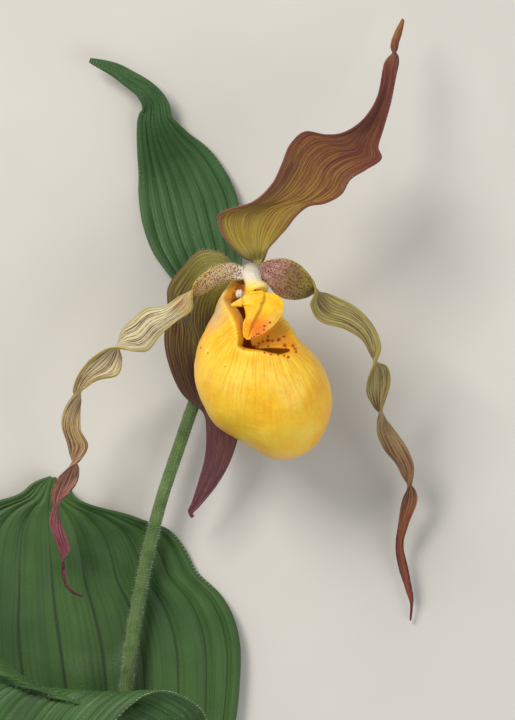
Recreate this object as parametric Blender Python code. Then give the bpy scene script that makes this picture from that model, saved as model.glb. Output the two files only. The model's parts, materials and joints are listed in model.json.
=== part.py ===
"""A cut stem of a yellow lady's slipper orchid, lying on its back.

The flower faces up, so +Z is the way it looks, +Y runs to the top of the flower and +X to its right as seen
from above. Places in the tables are millimetres from the point on the table right under the flower's heart,
where the column, petals and sepals meet. The stem, the leaves and the bract lie on the table.
"""

import math

import bmesh
import bpy
from mathutils import Vector

MM = 0.001

# Driving dimensions, in millimetres.
HEART_PLACE = (33.0, 72.5)  # where the heart stands over the part's frame, whose origin is under its middle
STEM_RADIUS = 1.6
LEAF_THICKNESS = 0.8
PETAL_THICKNESS = 0.7
LIP_THICKNESS = 0.9

# Down the stem's middle, from the cut end to the foot of the ovary: X, Y, Z.
STEM_PATH = [
    (-31.8, -206.0, 4.4), (-32.3, -190.0, 4.6), (-32.6, -170.0, 4.8), (-32.6, -150.0, 5.0),
    (-32.2, -130.0, 5.2), (-31.2, -106.5, 5.6), (-28.6, -87.0, 6.6), (-23.3, -62.5, 7.3),
    (-17.0, -43.0, 7.5), (-12.6, -30.0, 7.7), (-9.8, -20.0, 8.2), (-8.0, -13.0, 10.0),
]

# Down the ovary's middle, from the stem to the heart: X, Y, Z and the radius there.
OVARY_ROWS = [
    (-7.6, -11.4, 10.9, 1.7), (-6.4, -9.0, 14.0, 2.0), (-4.8, -6.6, 18.2, 2.4),
    (-3.0, -4.8, 22.4, 2.4), (-1.0, -3.2, 26.6, 2.2), (0.2, -2.3, 30.0, 2.1), (0.6, -2.0, 32.2, 2.6),
]

# Down the column's middle, from the heart to where it carries the staminode.
COLUMN_ROWS = [
    (0.8, -2.0, 33.3, 2.2), (0.8, -2.1, 35.2, 2.3), (0.9, -2.8, 37.6, 2.4),
    (1.2, -4.6, 40.0, 2.5), (1.5, -6.8, 41.6, 2.1),
]

# Petals and sepals run from root to tip between two margins. A row is the left margin's X and Y, the right
# margin's X and Y, the height halfway between, how far the left margin stands above that, and the curl, half
# the angle in degrees that the width is bent through. The margins cross over where a petal twists.
LEFT_PETAL = [
    (-2.5, -3.6, -2.3, -0.6, 34.6, 0.0, -10), (-4.5, -3.8, -4.5, 0.4, 36.2, 0.0, -22),
    (-7.7, -5.0, -8.5, -0.1, 37.4, -0.6, -28), (-10.2, -6.3, -11.7, -2.1, 37.6, -1.6, -26),
    (-12.7, -7.5, -13.9, -4.8, 37.2, -2.6, -10), (-15.5, -7.3, -14.4, -8.0, 36.4, -3.0, 28),
    (-18.0, -8.3, -14.7, -11.5, 35.5, -2.3, 22), (-21.7, -10.5, -18.2, -14.0, 34.2, -0.6, 20),
    (-26.0, -11.0, -22.5, -17.5, 32.8, 0.0, 24), (-29.2, -13.8, -25.5, -21.3, 31.4, -0.2, 28),
    (-32.0, -16.5, -29.0, -21.5, 30.3, -1.4, 34), (-32.8, -20.5, -32.7, -21.0, 29.2, -2.7, 32),
    (-32.0, -23.8, -36.3, -21.5, 28.3, -1.6, 26), (-33.3, -27.5, -40.3, -24.0, 26.8, 0.0, 22),
    (-37.6, -28.5, -43.1, -27.8, 25.3, 0.9, 25), (-41.3, -30.5, -44.4, -31.5, 24.1, 2.3, 28),
    (-44.3, -32.5, -42.6, -34.0, 23.1, 2.5, 27), (-46.4, -36.0, -42.6, -37.5, 22.0, 0.8, 22),
    (-47.2, -40.1, -42.4, -41.3, 20.7, 0.0, 20), (-45.7, -44.8, -40.6, -45.3, 19.1, -0.6, 22),
    (-44.7, -48.4, -42.7, -48.8, 17.8, -2.1, 26), (-43.0, -50.9, -46.2, -51.6, 16.6, -1.8, 27),
    (-43.5, -54.4, -49.2, -55.4, 15.6, -0.1, 24), (-46.2, -57.7, -50.0, -58.9, 14.6, 1.3, 24),
    (-49.2, -60.4, -48.6, -62.2, 13.8, 2.0, 24), (-50.3, -64.7, -47.0, -66.5, 12.8, 0.5, 20),
    (-48.3, -70.5, -45.5, -71.3, 11.7, -0.2, 18), (-47.1, -74.1, -47.0, -74.1, 11.1, -0.9, 14),
    (-46.3, -76.8, -47.8, -76.8, 10.7, -0.2, 10), (-46.1, -79.9, -46.6, -80.4, 10.4, 0.0, 5),
    (-44.3, -81.9, -44.8, -82.4, 10.2, 0.0, 0), (-42.0, -82.9, -42.0, -83.4, 10.4, 0.0, 0),
]

RIGHT_PETAL = [
    (4.0, -0.2, 3.8, -2.8, 34.8, 0.0, -6), (5.0, 1.2, 4.4, -4.8, 36.2, 0.0, -18),
    (9.0, 1.4, 7.2, -7.8, 37.5, 0.0, -22), (12.7, -0.3, 11.0, -8.8, 37.5, 0.6, -22),
    (15.5, -3.6, 14.0, -8.3, 36.7, 2.3, -20), (16.2, -6.8, 16.0, -7.0, 35.6, 3.1, 30),
    (15.2, -10.5, 18.5, -7.0, 34.5, 1.9, 28), (17.5, -14.0, 22.0, -8.3, 33.2, 0.1, 24),
    (23.7, -15.8, 26.7, -10.8, 31.4, 0.0, 25), (28.0, -18.5, 30.7, -15.0, 29.4, -0.7, 28),
    (30.3, -22.7, 32.8, -20.2, 27.1, -2.1, 28), (32.1, -24.5, 31.5, -24.5, 25.3, -2.6, 28),
    (34.6, -25.8, 29.8, -28.0, 23.5, -1.2, 26), (35.1, -29.5, 29.3, -31.8, 21.8, 0.0, 24),
    (33.6, -34.5, 30.9, -35.5, 19.3, 1.4, 25), (32.1, -37.8, 33.2, -37.6, 17.6, 2.3, 26),
    (31.9, -41.6, 36.2, -41.3, 15.8, 0.7, 24), (33.7, -46.1, 39.5, -46.1, 13.9, 0.0, 24),
    (37.0, -49.9, 41.2, -50.4, 12.2, -0.4, 24), (39.3, -54.0, 40.7, -54.2, 10.6, -1.6, 24),
    (41.8, -57.0, 39.0, -57.7, 9.3, -0.8, 22), (42.0, -59.8, 38.0, -61.0, 8.3, 0.0, 20),
    (39.8, -65.3, 37.3, -65.8, 6.9, 0.3, 19), (38.5, -70.6, 36.8, -71.4, 5.6, 0.0, 17),
    (39.8, -76.7, 37.8, -76.7, 4.3, 0.0, 16), (40.6, -81.5, 39.3, -81.8, 3.2, 0.5, 14),
    (41.4, -85.1, 40.1, -85.1, 2.3, 0.0, 10), (40.6, -89.4, 40.4, -89.6, 1.0, 0.0, 0),
]

DORSAL_SEPAL = [
    (0.2, 1.2, 3.4, 1.3, 32.4, 0.0, 10), (-2.5, 2.6, 4.7, 4.0, 34.4, 0.0, 20),
    (-6.0, 6.2, 6.7, 6.4, 35.6, 0.4, 24), (-7.7, 10.7, 9.2, 9.2, 36.8, 1.0, 26),
    (-6.0, 12.9, 11.7, 12.4, 37.6, 1.6, 28), (0.5, 15.4, 14.5, 14.7, 37.8, 1.4, 26),
    (5.0, 19.9, 18.7, 15.4, 37.0, 1.0, 22), (7.7, 25.1, 22.7, 17.9, 35.8, 0.6, 20),
    (10.0, 29.9, 25.0, 21.7, 34.4, 0.4, 20), (14.2, 33.4, 29.0, 24.0, 32.8, 0.4, 22),
    (19.7, 32.7, 32.8, 26.3, 30.6, 0.8, 26), (23.8, 33.2, 32.0, 29.3, 28.6, 1.4, 30),
    (28.0, 36.6, 33.3, 34.1, 26.0, 1.4, 32), (31.6, 41.9, 35.3, 41.2, 23.0, 1.0, 32),
    (33.4, 48.2, 36.4, 48.0, 20.0, 0.4, 30), (34.4, 52.1, 36.9, 52.5, 18.2, -0.4, 24),
    (36.2, 54.4, 35.9, 54.1, 17.0, -0.9, 18), (37.7, 57.4, 35.7, 56.6, 15.6, -0.2, 14),
    (38.7, 61.7, 38.2, 62.0, 13.6, 0.0, 0),
]

SYNSEPALUM = [
    (-3.6, -5.4, -3.4, -1.2, 29.4, 0.0, -10), (-5.2, -6.8, -7.0, 3.1, 28.6, 0.0, -20),
    (-7.0, -9.2, -12.5, 3.8, 26.8, 0.0, -28), (-8.0, -12.7, -17.0, -0.7, 23.8, 0.0, -30),
    (-7.4, -17.2, -20.3, -5.4, 20.0, 0.0, -26), (-6.0, -22.0, -20.3, -11.4, 16.6, 0.0, -22),
    (-4.3, -27.5, -21.4, -18.7, 14.2, 0.0, -20), (-3.3, -32.8, -20.1, -25.8, 12.6, 0.0, -20),
    (-2.5, -37.6, -17.1, -32.3, 11.8, 0.0, -20), (-2.8, -42.1, -12.1, -36.6, 11.6, 0.0, -22),
    (-3.5, -45.6, -11.1, -41.4, 11.6, 0.0, -22), (-5.5, -50.7, -11.3, -47.9, 11.4, 0.0, -20),
    (-8.6, -55.7, -12.6, -53.9, 11.0, 0.0, -16), (-12.6, -60.2, -14.4, -59.5, 10.6, 0.0, -8),
    (-14.6, -62.3, -15.4, -61.7, 10.4, 0.0, 0), (-14.1, -63.0, -14.6, -63.5, 10.6, 0.0, 0),
]

# The staminode is the shield at the column's tip, with a raised keel left of its middle.
STAMINODE = [
    (3.0, -6.6, 0.2, -6.8, 44.0, 0.0, -10), (3.8, -7.4, -1.0, -8.0, 44.2, 0.0, -16),
    (6.6, -7.6, -3.4, -9.9, 44.2, -0.4, -24),
    (8.3, -9.4, -2.6, -11.2, 44.2, -0.6, -28), (8.0, -12.2, -1.0, -13.0, 44.2, -0.6, -24),
    (6.4, -14.6, -0.5, -14.8, 44.2, -0.4, -18), (3.0, -16.9, -0.6, -16.5, 44.4, -0.2, -12),
    (-0.3, -18.2, -0.7, -18.1, 44.6, 0.0, 0),
]
STAMINODE_KEEL = 1.3
STAMINODE_KEEL_LINE = (0.1, 0.8)  # where across the shield the keel stands at the root and at the tip
STAMINODE_KEEL_WIDTH = 0.3

# The upper leaf's roots wrap the stem. It climbs, arches over the stem and droops to the lower left.
UPPER_LEAF = [
    (-33.6, -157.0, -31.7, -157.0, 2.5, 0.0, -159), (-33.6, -150.0, -31.6, -150.0, 2.5, 0.0, -158),
    (-34.2, -145.0, -31.2, -145.0, 2.9, 0.0, -146),
    (-35.8, -140.0, -28.8, -140.5, 4.0, 0.0, -122), (-39.5, -129.0, -24.0, -131.0, 7.0, 0.0, -80),
    (-49.0, -114.0, -15.4, -120.5, 12.0, 0.0, -48), (-63.0, -100.0, -11.2, -114.0, 16.0, -1.0, -34),
    (-76.0, -94.5, -16.0, -108.6, 20.0, -2.0, -28), (-86.0, -98.0, -23.5, -106.6, 23.0, -3.0, -26),
    (-93.0, -106.5, -31.0, -110.8, 23.8, -3.8, -24), (-98.5, -118.0, -41.0, -122.5, 22.0, -4.0, -24),
    (-102.5, -130.0, -55.5, -137.0, 17.8, -3.2, -24), (-105.5, -142.0, -72.5, -149.0, 12.6, -2.0, -22),
    (-107.0, -152.0, -90.0, -157.6, 8.2, -0.6, -18), (-107.6, -158.4, -101.8, -161.2, 5.8, 0.0, -12),
    (-107.6, -163.4, -107.1, -163.6, 4.6, 0.0, 0),
]

# The lower leaf and the bract run down their midribs. A row is X, Y, Z, half width and curl.
LOWER_LEAF = [
    (-32.4, -193.0, 2.0, 7.4, 156), (-32.6, -183.0, 2.0, 7.6, 156), (-33.4, -173.0, 1.3, 11.6, 96),
    (-35.4, -163.0, 0.6, 18.0, 34), (-38.8, -152.0, 0.4, 26.0, 12), (-41.6, -140.0, 0.4, 33.6, 7),
    (-44.0, -126.0, 0.4, 39.5, 5), (-45.8, -112.0, 0.4, 43.4, 4), (-47.4, -100.0, 0.4, 45.0, 4),
    (-48.8, -90.0, 0.5, 42.6, 4), (-49.8, -81.6, 0.8, 37.0, 4), (-50.4, -73.4, 1.2, 33.6, 4),
    (-50.8, -67.0, 1.6, 28.6, 4), (-50.8, -62.4, 2.0, 20.5, 5), (-50.6, -58.8, 2.4, 8.6, 8),
    (-50.2, -55.6, 2.8, 4.6, 8), (-49.8, -53.4, 3.2, 0.5, 0),
]

LEAF_REST = (-40.0, -88.0, 13.0)  # where the lower leaf lies flat on the table: X, Y and radius

BRACT = [
    (-8.9, -15.6, 6.4, 4.4, 88), (-9.2, -10.0, 5.6, 6.6, 68), (-10.2, -4.0, 4.2, 9.2, 46),
    (-11.8, 2.0, 2.8, 11.2, 30), (-13.8, 8.4, 1.6, 12.3, 20), (-15.8, 16.0, 0.8, 12.2, 15),
    (-18.4, 23.4, 0.5, 10.4, 14), (-21.6, 30.2, 0.9, 7.2, 18), (-23.6, 36.0, 2.0, 4.9, 22),
    (-24.0, 40.6, 3.2, 3.6, 26), (-26.4, 44.2, 4.4, 2.8, 28), (-30.4, 47.0, 5.2, 2.2, 26),
    (-34.6, 49.6, 5.6, 1.5, 20), (-40.4, 51.8, 5.6, 0.35, 0),
]

ANTHER_PLACES = {"anther_left": (-2.6, -7.3, 37.6), "anther_right": (4.4, -8.0, 39.6)}
ANTHER_RADII = (1.0, 1.2, 0.9)

# The lip is a pouch: its outline as seen from above, as an angle and a distance from its middle.
LIP_MIDDLE = (3.8, -30.0, 29.0)
LIP_OUTLINE = [
    (0, 15.8), (19, 14.6), (38, 13.8), (55, 13.9), (67, 15.7), (80, 18.1), (88, 21.2), (96, 23.2),
    (103, 25.2), (109, 25.6), (116, 24.4), (125, 21.5), (138, 19.9), (164, 18.0), (180, 16.9), (199, 15.8),
    (218, 15.6), (241, 14.8), (258, 15.6), (275, 18.0), (288, 19.1), (305, 19.3), (323, 18.3), (341, 17.2),
]
LIP_FRONT_DEPTH = 16.5
LIP_BACK_DEPTH = 13.6
LIP_FULLNESS = 2.2  # 2 would be an ellipse in depth
LIP_TILT = 0.25  # the pouch leans back towards its toe
MOUTH_WAY = (-0.05, 0.80, 0.60)  # the way that the mouth faces
MOUTH_ANGLES = [
    (0, 37), (30, 29), (60, 31), (90, 40), (120, 42), (150, 26), (180, 19), (210, 21), (240, 27),
    (270, 27), (300, 32), (330, 35),
]
LIP_RINGS = 12
LIP_SIDES = 28
MOUTH_ROLL = [(0, 4.6), (50, 4.2), (100, 2.0), (180, 2.2), (240, 1.8), (300, 2.2)]  # how far its edge turns in
MOUTH_ROLL_STEPS = ((0.5, -0.2), (0.5, -0.9))  # the share of the roll that each turn takes, and its depth

LOWER_LEAF_PLEATS = 12
BRACT_PLEATS = 9
UPPER_LEAF_PLEATS = 9


def clear_scene():
    for obj in list(bpy.data.objects):
        bpy.data.objects.remove(obj)


def material(name, colour, roughness):
    made = bpy.data.materials.new(name)
    made.use_nodes = True
    shader = made.node_tree.nodes["Principled BSDF"]
    shader.inputs["Base Color"].default_value = (*colour, 1.0)
    shader.inputs["Roughness"].default_value = roughness
    shader.inputs["Metallic"].default_value = 0.0
    return made


def curve_through(a, b, c, d, f):
    """The value a share f of the way from b to c, on a smooth curve that also passes a and d."""
    return 0.5 * (2 * b + (c - a) * f + (2 * a - 5 * b + 4 * c - d) * f**2 + (3 * b - a - 3 * c + d) * f**3)


def smooth_row(rows, t):
    """The row a share t of the way down the table, on a smooth curve through every row."""
    place = min(max(t, 0.0), 1.0) * (len(rows) - 1)
    at = min(int(place), len(rows) - 2)
    near = (rows[min(max(at + k, 0), len(rows) - 1)] for k in (-1, 0, 1, 2))
    return [curve_through(*values, place - at) for values in zip(*near)]


def smooth_round(pairs, angle):
    """The value at an angle in degrees, on a smooth closed curve through (angle, value) pairs."""
    turn = angle % 360
    at = max(k for k, pair in enumerate(pairs) if pair[0] <= turn)
    start, end = pairs[at], pairs[(at + 1) % len(pairs)]
    share = (turn - start[0]) / ((end[0] - start[0]) % 360)
    return curve_through(pairs[at - 1][1], start[1], end[1], pairs[(at + 2) % len(pairs)][1], share)


def between_margins(row):
    """The middle, the way across, the half width and the curl of a row that gives two margins."""
    left_x, left_y, right_x, right_y, height, rise, curl = row
    left = Vector((left_x, left_y, height + rise))
    right = Vector((right_x, right_y, height - rise))
    return (left + right) / 2, right - left, curl


def blade_frames(rows, along):
    """The midrib, side, normal, bend radius and curl at along + 1 places down a blade."""
    found = []
    for k in range(along + 1):
        t = k / along
        row = smooth_row(rows, t)
        ahead, behind = (smooth_row(rows, t + step) for step in (0.008, -0.008))
        if len(row) == 7:
            middle, across, curl = between_margins(row)
            tangent = (between_margins(ahead)[0] - between_margins(behind)[0]).normalized()
        else:
            middle, curl = Vector(row[:3]), row[4]
            tangent = (Vector(ahead[:3]) - Vector(behind[:3])).normalized()
            across = tangent.cross(Vector((0, 0, 1))).normalized() * 2 * row[3]
        curl = math.radians(curl if abs(curl) > 0.5 else 0.5)
        side = across.normalized()
        normal = side.cross(tangent).normalized()
        if len(row) == 7:
            radius = across.length / 2 / math.sin(curl)
            middle = middle - normal * radius * (1 - math.cos(curl))
        else:
            radius = row[3] / curl
        found.append((middle, side, normal, radius, curl))
    return found


def across_blade(frame, u, lift):
    """The point at u, from -1 at the left margin to 1 at the right one, raised from the blade by lift."""
    middle, side, normal, radius, curl = frame
    bend = curl * u
    point = middle + side * radius * math.sin(bend) + normal * radius * (1 - math.cos(bend))
    return point + (normal * math.cos(bend) - side * math.sin(bend)) * lift


def link(name, bm, made_of):
    mesh = bpy.data.meshes.new(name)
    bmesh.ops.scale(bm, vec=(MM, MM, MM), verts=bm.verts)
    bmesh.ops.translate(bm, vec=(HEART_PLACE[0] * MM, HEART_PLACE[1] * MM, 0.0), verts=bm.verts)
    bm.to_mesh(mesh)
    bm.free()
    mesh.materials.append(made_of)
    mesh.shade_smooth()
    obj = bpy.data.objects.new(name, mesh)
    bpy.context.scene.collection.objects.link(obj)
    return obj


def thicken(obj, thickness):
    solid = obj.modifiers.new("thickness", "SOLIDIFY")
    solid.thickness = thickness * MM
    solid.offset = 0.0


def blade(name, rows, along, across, thickness, made_of, lift, spread=0.0, rest=None):
    """A leaf, sepal or petal: a grid laid down its rows, split alike on both faces and given a thickness.
    A spread in degrees sets the lines down the blade closer together near its margins. One with a rest stays
    on the table, and lies flat on it within a radius of a place."""
    bm = bmesh.new()
    bmesh.ops.create_grid(bm, x_segments=across, y_segments=along, size=1.0)
    frames = blade_frames(rows, along)
    spread = math.radians(spread)
    for vert in bm.verts:
        v, t = vert.co.x, (vert.co.y + 1) / 2
        u = math.sin(spread * v) / math.sin(spread) if spread else v
        vert.co = across_blade(frames[round(t * along)], u, lift(v, t))
        if rest:
            rests = math.dist(vert.co.xy, rest[:2]) < rest[2]
            vert.co.z = thickness / 2 if rests else max(vert.co.z, thickness / 2)
    bmesh.ops.triangulate(bm, faces=bm.faces, quad_method="FIXED")
    bmesh.ops.recalc_face_normals(bm, faces=bm.faces)
    obj = link(name, bm, made_of)
    thicken(obj, thickness)
    return obj


def fade_ends(t, root, tip):
    """1 along the middle of a blade, falling to 0 over the stated shares at its root and its tip."""
    return max(0.0, min(t / root, (1 - t) / tip, 1.0))


def pleats(count, height, wave, waves, root=0.25):
    """The lift of a pleated leaf whose margin waves: a groove at each vein and a ridge between."""

    def lift(v, t):
        fold = abs(math.sin(math.pi * count * (v + 1) / 2))
        margin = abs(v) ** 3 * math.sin(2 * math.pi * waves * t + (0.9 if v > 0 else 0.0))
        return fade_ends(t, root, 0.15) * (height * fold + wave * margin)

    return lift


def ripple(height, waves, phase=0.0):
    """The lift of a petal whose two margins ripple out of step."""

    def lift(v, t):
        shift = phase + (1.7 if v > 0 else 0.0)
        return fade_ends(t, 0.12, 0.12) * height * v**2 * math.sin(2 * math.pi * waves * t + shift)

    return lift


def keel(height, width, start, end):
    """The lift of a blade with a rounded keel down a line from start at its root to end at its tip."""

    def lift(v, t):
        place = start + (end - start) * t
        return height * math.exp(-(((v - place) / width) ** 2)) * fade_ends(t, 0.25, 0.35)

    return lift


def tube(name, rows, along, sides, made_of, ribs=0, rib_height=0.0):
    """A closed round solid down rows of X, Y, Z and radius, ribbed if asked: a grid rolled up and capped."""
    bm = bmesh.new()
    bmesh.ops.create_grid(bm, x_segments=sides, y_segments=along, size=1.0)
    frames = tube_frames(rows, along)
    for vert in bm.verts:
        angle, k = math.pi * (vert.co.x + 1), round((vert.co.y + 1) / 2 * along)
        middle, side, normal, radius = frames[k]
        radius *= 1 + rib_height * math.cos(ribs * angle)
        vert.co = middle + (side * math.cos(angle) + normal * math.sin(angle)) * radius
    bmesh.ops.remove_doubles(bm, verts=bm.verts, dist=0.001)
    bmesh.ops.holes_fill(bm, edges=bm.edges)
    bmesh.ops.recalc_face_normals(bm, faces=bm.faces)
    return link(name, bm, made_of)


def tube_frames(rows, along):
    """The middle, two ways across and radius at along + 1 places down a tube, without twist between them."""
    found = []
    normal = Vector((1.0, 0.0, 0.0))
    for k in range(along + 1):
        row = smooth_row(rows, k / along)
        ahead, behind = (Vector(smooth_row(rows, k / along + step)[:3]) for step in (0.01, -0.01))
        tangent = (ahead - behind).normalized()
        side = tangent.cross(normal).normalized()
        normal = side.cross(tangent)
        found.append((Vector(row[:3]), side, normal, row[3]))
    return found


def mouth_axes():
    """The way the mouth faces, and the two ways across it."""
    way = Vector(MOUTH_WAY).normalized()
    right = (Vector((1, 0, 0)) - way * way.x).normalized()
    return way, right, way.cross(right)


def on_lip(polar, turn):
    """The point of the pouch at an angle from the way of the mouth, and a turn round that way, in degrees."""
    way, right, back = mouth_axes()
    polar, turn = math.radians(polar), math.radians(turn)
    out = way * math.cos(polar) + (right * math.cos(turn) + back * math.sin(turn)) * math.sin(polar)
    outline = smooth_round(LIP_OUTLINE, math.degrees(math.atan2(out.y, out.x)))
    depth = LIP_FRONT_DEPTH if out.z > 0 else LIP_BACK_DEPTH
    flat = math.hypot(out.x, out.y)
    reach = ((flat / outline) ** LIP_FULLNESS + (abs(out.z) / depth) ** LIP_FULLNESS) ** (-1 / LIP_FULLNESS)
    point = out * reach
    point.z += LIP_TILT * point.y
    return Vector(LIP_MIDDLE) + point


def lip(made_of):
    """The pouch: rings from its turned-in mouth to its far side, closed there."""
    bm = bmesh.new()
    bmesh.ops.create_uvsphere(bm, u_segments=LIP_SIDES, v_segments=LIP_RINGS, radius=1.0)
    top = max(bm.verts, key=lambda v: v.co.z)
    bmesh.ops.delete(bm, geom=[top], context="VERTS")
    first_polar = 180.0 / LIP_RINGS
    for vert in bm.verts:
        turn = math.degrees(math.atan2(vert.co.y, vert.co.x))
        polar = math.degrees(math.acos(max(-1.0, min(1.0, vert.co.z))))
        edge = smooth_round(MOUTH_ANGLES, turn)
        vert.co = on_lip(edge + (polar - first_polar) / (180 - first_polar) * (180 - edge), turn)
    rim = [edge for edge in bm.edges if edge.is_boundary]
    way, right, back = mouth_axes()
    hub = sum((v.co for e in rim for v in e.verts), Vector()) / (2 * len(rim))
    for share, depth in MOUTH_ROLL_STEPS:
        turned = bmesh.ops.extrude_edge_only(bm, edges=rim)["geom"]
        rim = [g for g in turned if isinstance(g, bmesh.types.BMEdge)]
        for vert in (g for g in turned if isinstance(g, bmesh.types.BMVert)):
            inwards = hub - vert.co
            inwards -= way * inwards.dot(way)
            roll = smooth_round(MOUTH_ROLL, math.degrees(math.atan2(-inwards.dot(back), -inwards.dot(right))))
            vert.co += inwards.normalized() * roll * share + way * roll * depth
    bmesh.ops.triangulate(bm, faces=bm.faces, quad_method="FIXED")
    bmesh.ops.recalc_face_normals(bm, faces=bm.faces)
    obj = link("lip", bm, made_of)
    thicken(obj, LIP_THICKNESS)
    return obj


def anther(name, place, made_of):
    bm = bmesh.new()
    bmesh.ops.create_icosphere(bm, subdivisions=2, radius=1.0)
    bmesh.ops.scale(bm, vec=Vector(ANTHER_RADII), verts=bm.verts)
    bmesh.ops.translate(bm, vec=Vector(place), verts=bm.verts)
    return link(name, bm, made_of)


def main():
    clear_scene()
    leaf_green = material("leaf_green", (0.035, 0.11, 0.02), 0.55)
    stem_green = material("stem_green", (0.12, 0.24, 0.06), 0.6)
    sepal_brown = material("sepal_brown", (0.24, 0.12, 0.03), 0.5)
    petal_brown = material("petal_brown", (0.32, 0.20, 0.05), 0.5)
    lip_yellow = material("lip_yellow", (0.90, 0.55, 0.02), 0.35)
    column_cream = material("column_cream", (0.80, 0.66, 0.30), 0.45)
    anther_cream = material("anther_cream", (0.75, 0.70, 0.60), 0.5)

    stem_rows = [(*place, STEM_RADIUS) for place in STEM_PATH]
    tube("stem", stem_rows, 44, 8, stem_green)
    tube("ovary", OVARY_ROWS, 10, 12, stem_green, ribs=6, rib_height=0.06)
    tube("column", COLUMN_ROWS, 8, 10, column_cream)
    for name, place in ANTHER_PLACES.items():
        anther(name, place, anther_cream)
    shield = keel(STAMINODE_KEEL, STAMINODE_KEEL_WIDTH, *STAMINODE_KEEL_LINE)
    blade("staminode", STAMINODE, 12, 8, PETAL_THICKNESS, lip_yellow, shield)
    lip(lip_yellow)

    blade("left_petal", LEFT_PETAL, 62, 4, PETAL_THICKNESS, petal_brown, ripple(0.2, 9))
    blade("right_petal", RIGHT_PETAL, 54, 4, PETAL_THICKNESS, petal_brown, ripple(0.2, 8, 1.0))
    blade("dorsal_sepal", DORSAL_SEPAL, 36, 8, PETAL_THICKNESS, sepal_brown, ripple(0.9, 3.2))
    blade("synsepalum", SYNSEPALUM, 30, 8, PETAL_THICKNESS, sepal_brown, ripple(0.5, 2.0, 2.0))

    blade("bract", BRACT, 20, 2 * BRACT_PLEATS, LEAF_THICKNESS, leaf_green, pleats(BRACT_PLEATS, 0.5, 0.6, 1.5))
    blade(
        "lower_leaf", LOWER_LEAF, 25, 2 * LOWER_LEAF_PLEATS, LEAF_THICKNESS, leaf_green,
        pleats(LOWER_LEAF_PLEATS, 0.8, 1.2, 2.4), spread=78.0, rest=LEAF_REST,
    )
    blade(
        "upper_leaf", UPPER_LEAF, 26, 2 * UPPER_LEAF_PLEATS, LEAF_THICKNESS, leaf_green,
        pleats(UPPER_LEAF_PLEATS, -0.5, 0.8, 2.0),
    )


main()
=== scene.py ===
"""The looks of a cut stem of a yellow lady's slipper orchid, lying on its back.

Places in the tables are millimetres from the point on the table right under the flower's heart, as in the
part's source. Each finer piece follows the same tables as the solid that it stands for.
"""

import json
import math
import random

import bmesh
import bpy
from mathutils import Matrix, Vector, noise

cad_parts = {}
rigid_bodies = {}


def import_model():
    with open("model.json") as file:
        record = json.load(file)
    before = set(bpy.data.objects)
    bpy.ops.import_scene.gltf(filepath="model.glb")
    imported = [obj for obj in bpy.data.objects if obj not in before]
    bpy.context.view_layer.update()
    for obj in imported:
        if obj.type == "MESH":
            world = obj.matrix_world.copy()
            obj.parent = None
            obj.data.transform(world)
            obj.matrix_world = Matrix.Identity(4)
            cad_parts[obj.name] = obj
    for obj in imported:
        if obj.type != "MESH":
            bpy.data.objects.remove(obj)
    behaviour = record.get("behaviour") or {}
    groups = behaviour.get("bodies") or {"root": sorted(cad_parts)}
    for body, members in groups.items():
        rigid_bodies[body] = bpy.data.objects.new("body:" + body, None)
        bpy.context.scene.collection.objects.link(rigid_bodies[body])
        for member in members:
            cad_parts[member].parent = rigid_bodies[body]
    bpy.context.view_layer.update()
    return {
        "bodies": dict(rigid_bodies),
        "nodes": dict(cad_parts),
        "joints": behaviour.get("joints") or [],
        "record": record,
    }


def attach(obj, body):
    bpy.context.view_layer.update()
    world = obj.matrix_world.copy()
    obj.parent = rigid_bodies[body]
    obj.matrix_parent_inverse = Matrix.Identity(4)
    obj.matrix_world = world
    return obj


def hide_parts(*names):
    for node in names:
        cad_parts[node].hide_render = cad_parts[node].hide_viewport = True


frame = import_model()

MM = 0.001

# Driving dimensions, in millimetres.
HEART_PLACE = (33.0, 72.5)  # where the heart stands over the part's frame, whose origin is under its middle
STEM_RADIUS = 1.6
LEAF_THICKNESS = 0.7
LEAF_BED = 0.4  # how high the middle of the lower leaf's thickness is where the leaf rests on the table
PETAL_THICKNESS = 0.5
PETAL_TIP_DRAWN = 0.6  # how far the side petals' tips are drawn in, as a share of their width
LIP_THICKNESS = 0.9

# Down the stem's middle, from the cut end to the foot of the ovary: X, Y, Z.
STEM_PATH = [
    (-31.8, -206.0, 4.4), (-32.3, -190.0, 4.6), (-32.6, -170.0, 4.8), (-32.6, -150.0, 5.0),
    (-32.2, -130.0, 5.2), (-31.2, -106.5, 5.6), (-28.6, -87.0, 6.6), (-23.3, -62.5, 7.3),
    (-17.0, -43.0, 7.5), (-12.6, -30.0, 7.7), (-9.8, -20.0, 8.2), (-8.0, -13.0, 10.0),
]

# Down the ovary's middle, from the stem to the heart: X, Y, Z and the radius there.
OVARY_ROWS = [
    (-7.6, -11.4, 10.9, 1.7), (-6.4, -9.0, 14.0, 2.0), (-4.8, -6.6, 18.2, 2.4),
    (-3.0, -4.8, 22.4, 2.4), (-1.0, -3.2, 26.6, 2.2), (0.2, -2.3, 30.0, 2.1), (0.6, -2.0, 32.2, 2.6),
]

# Down the column's middle, from the heart to the shield: it flares where the petals join it, narrows, and
# widens again.
COLUMN_ROWS = [
    (0.6, -1.8, 31.6, 2.2), (0.4, -2.0, 33.6, 2.6), (0.4, -2.3, 35.4, 2.5), (0.6, -3.3, 37.2, 2.2),
    (0.9, -4.4, 38.8, 2.15), (1.3, -5.6, 40.2, 2.5), (1.8, -6.6, 41.0, 3.0), (2.1, -7.2, 41.4, 2.6),
]

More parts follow.
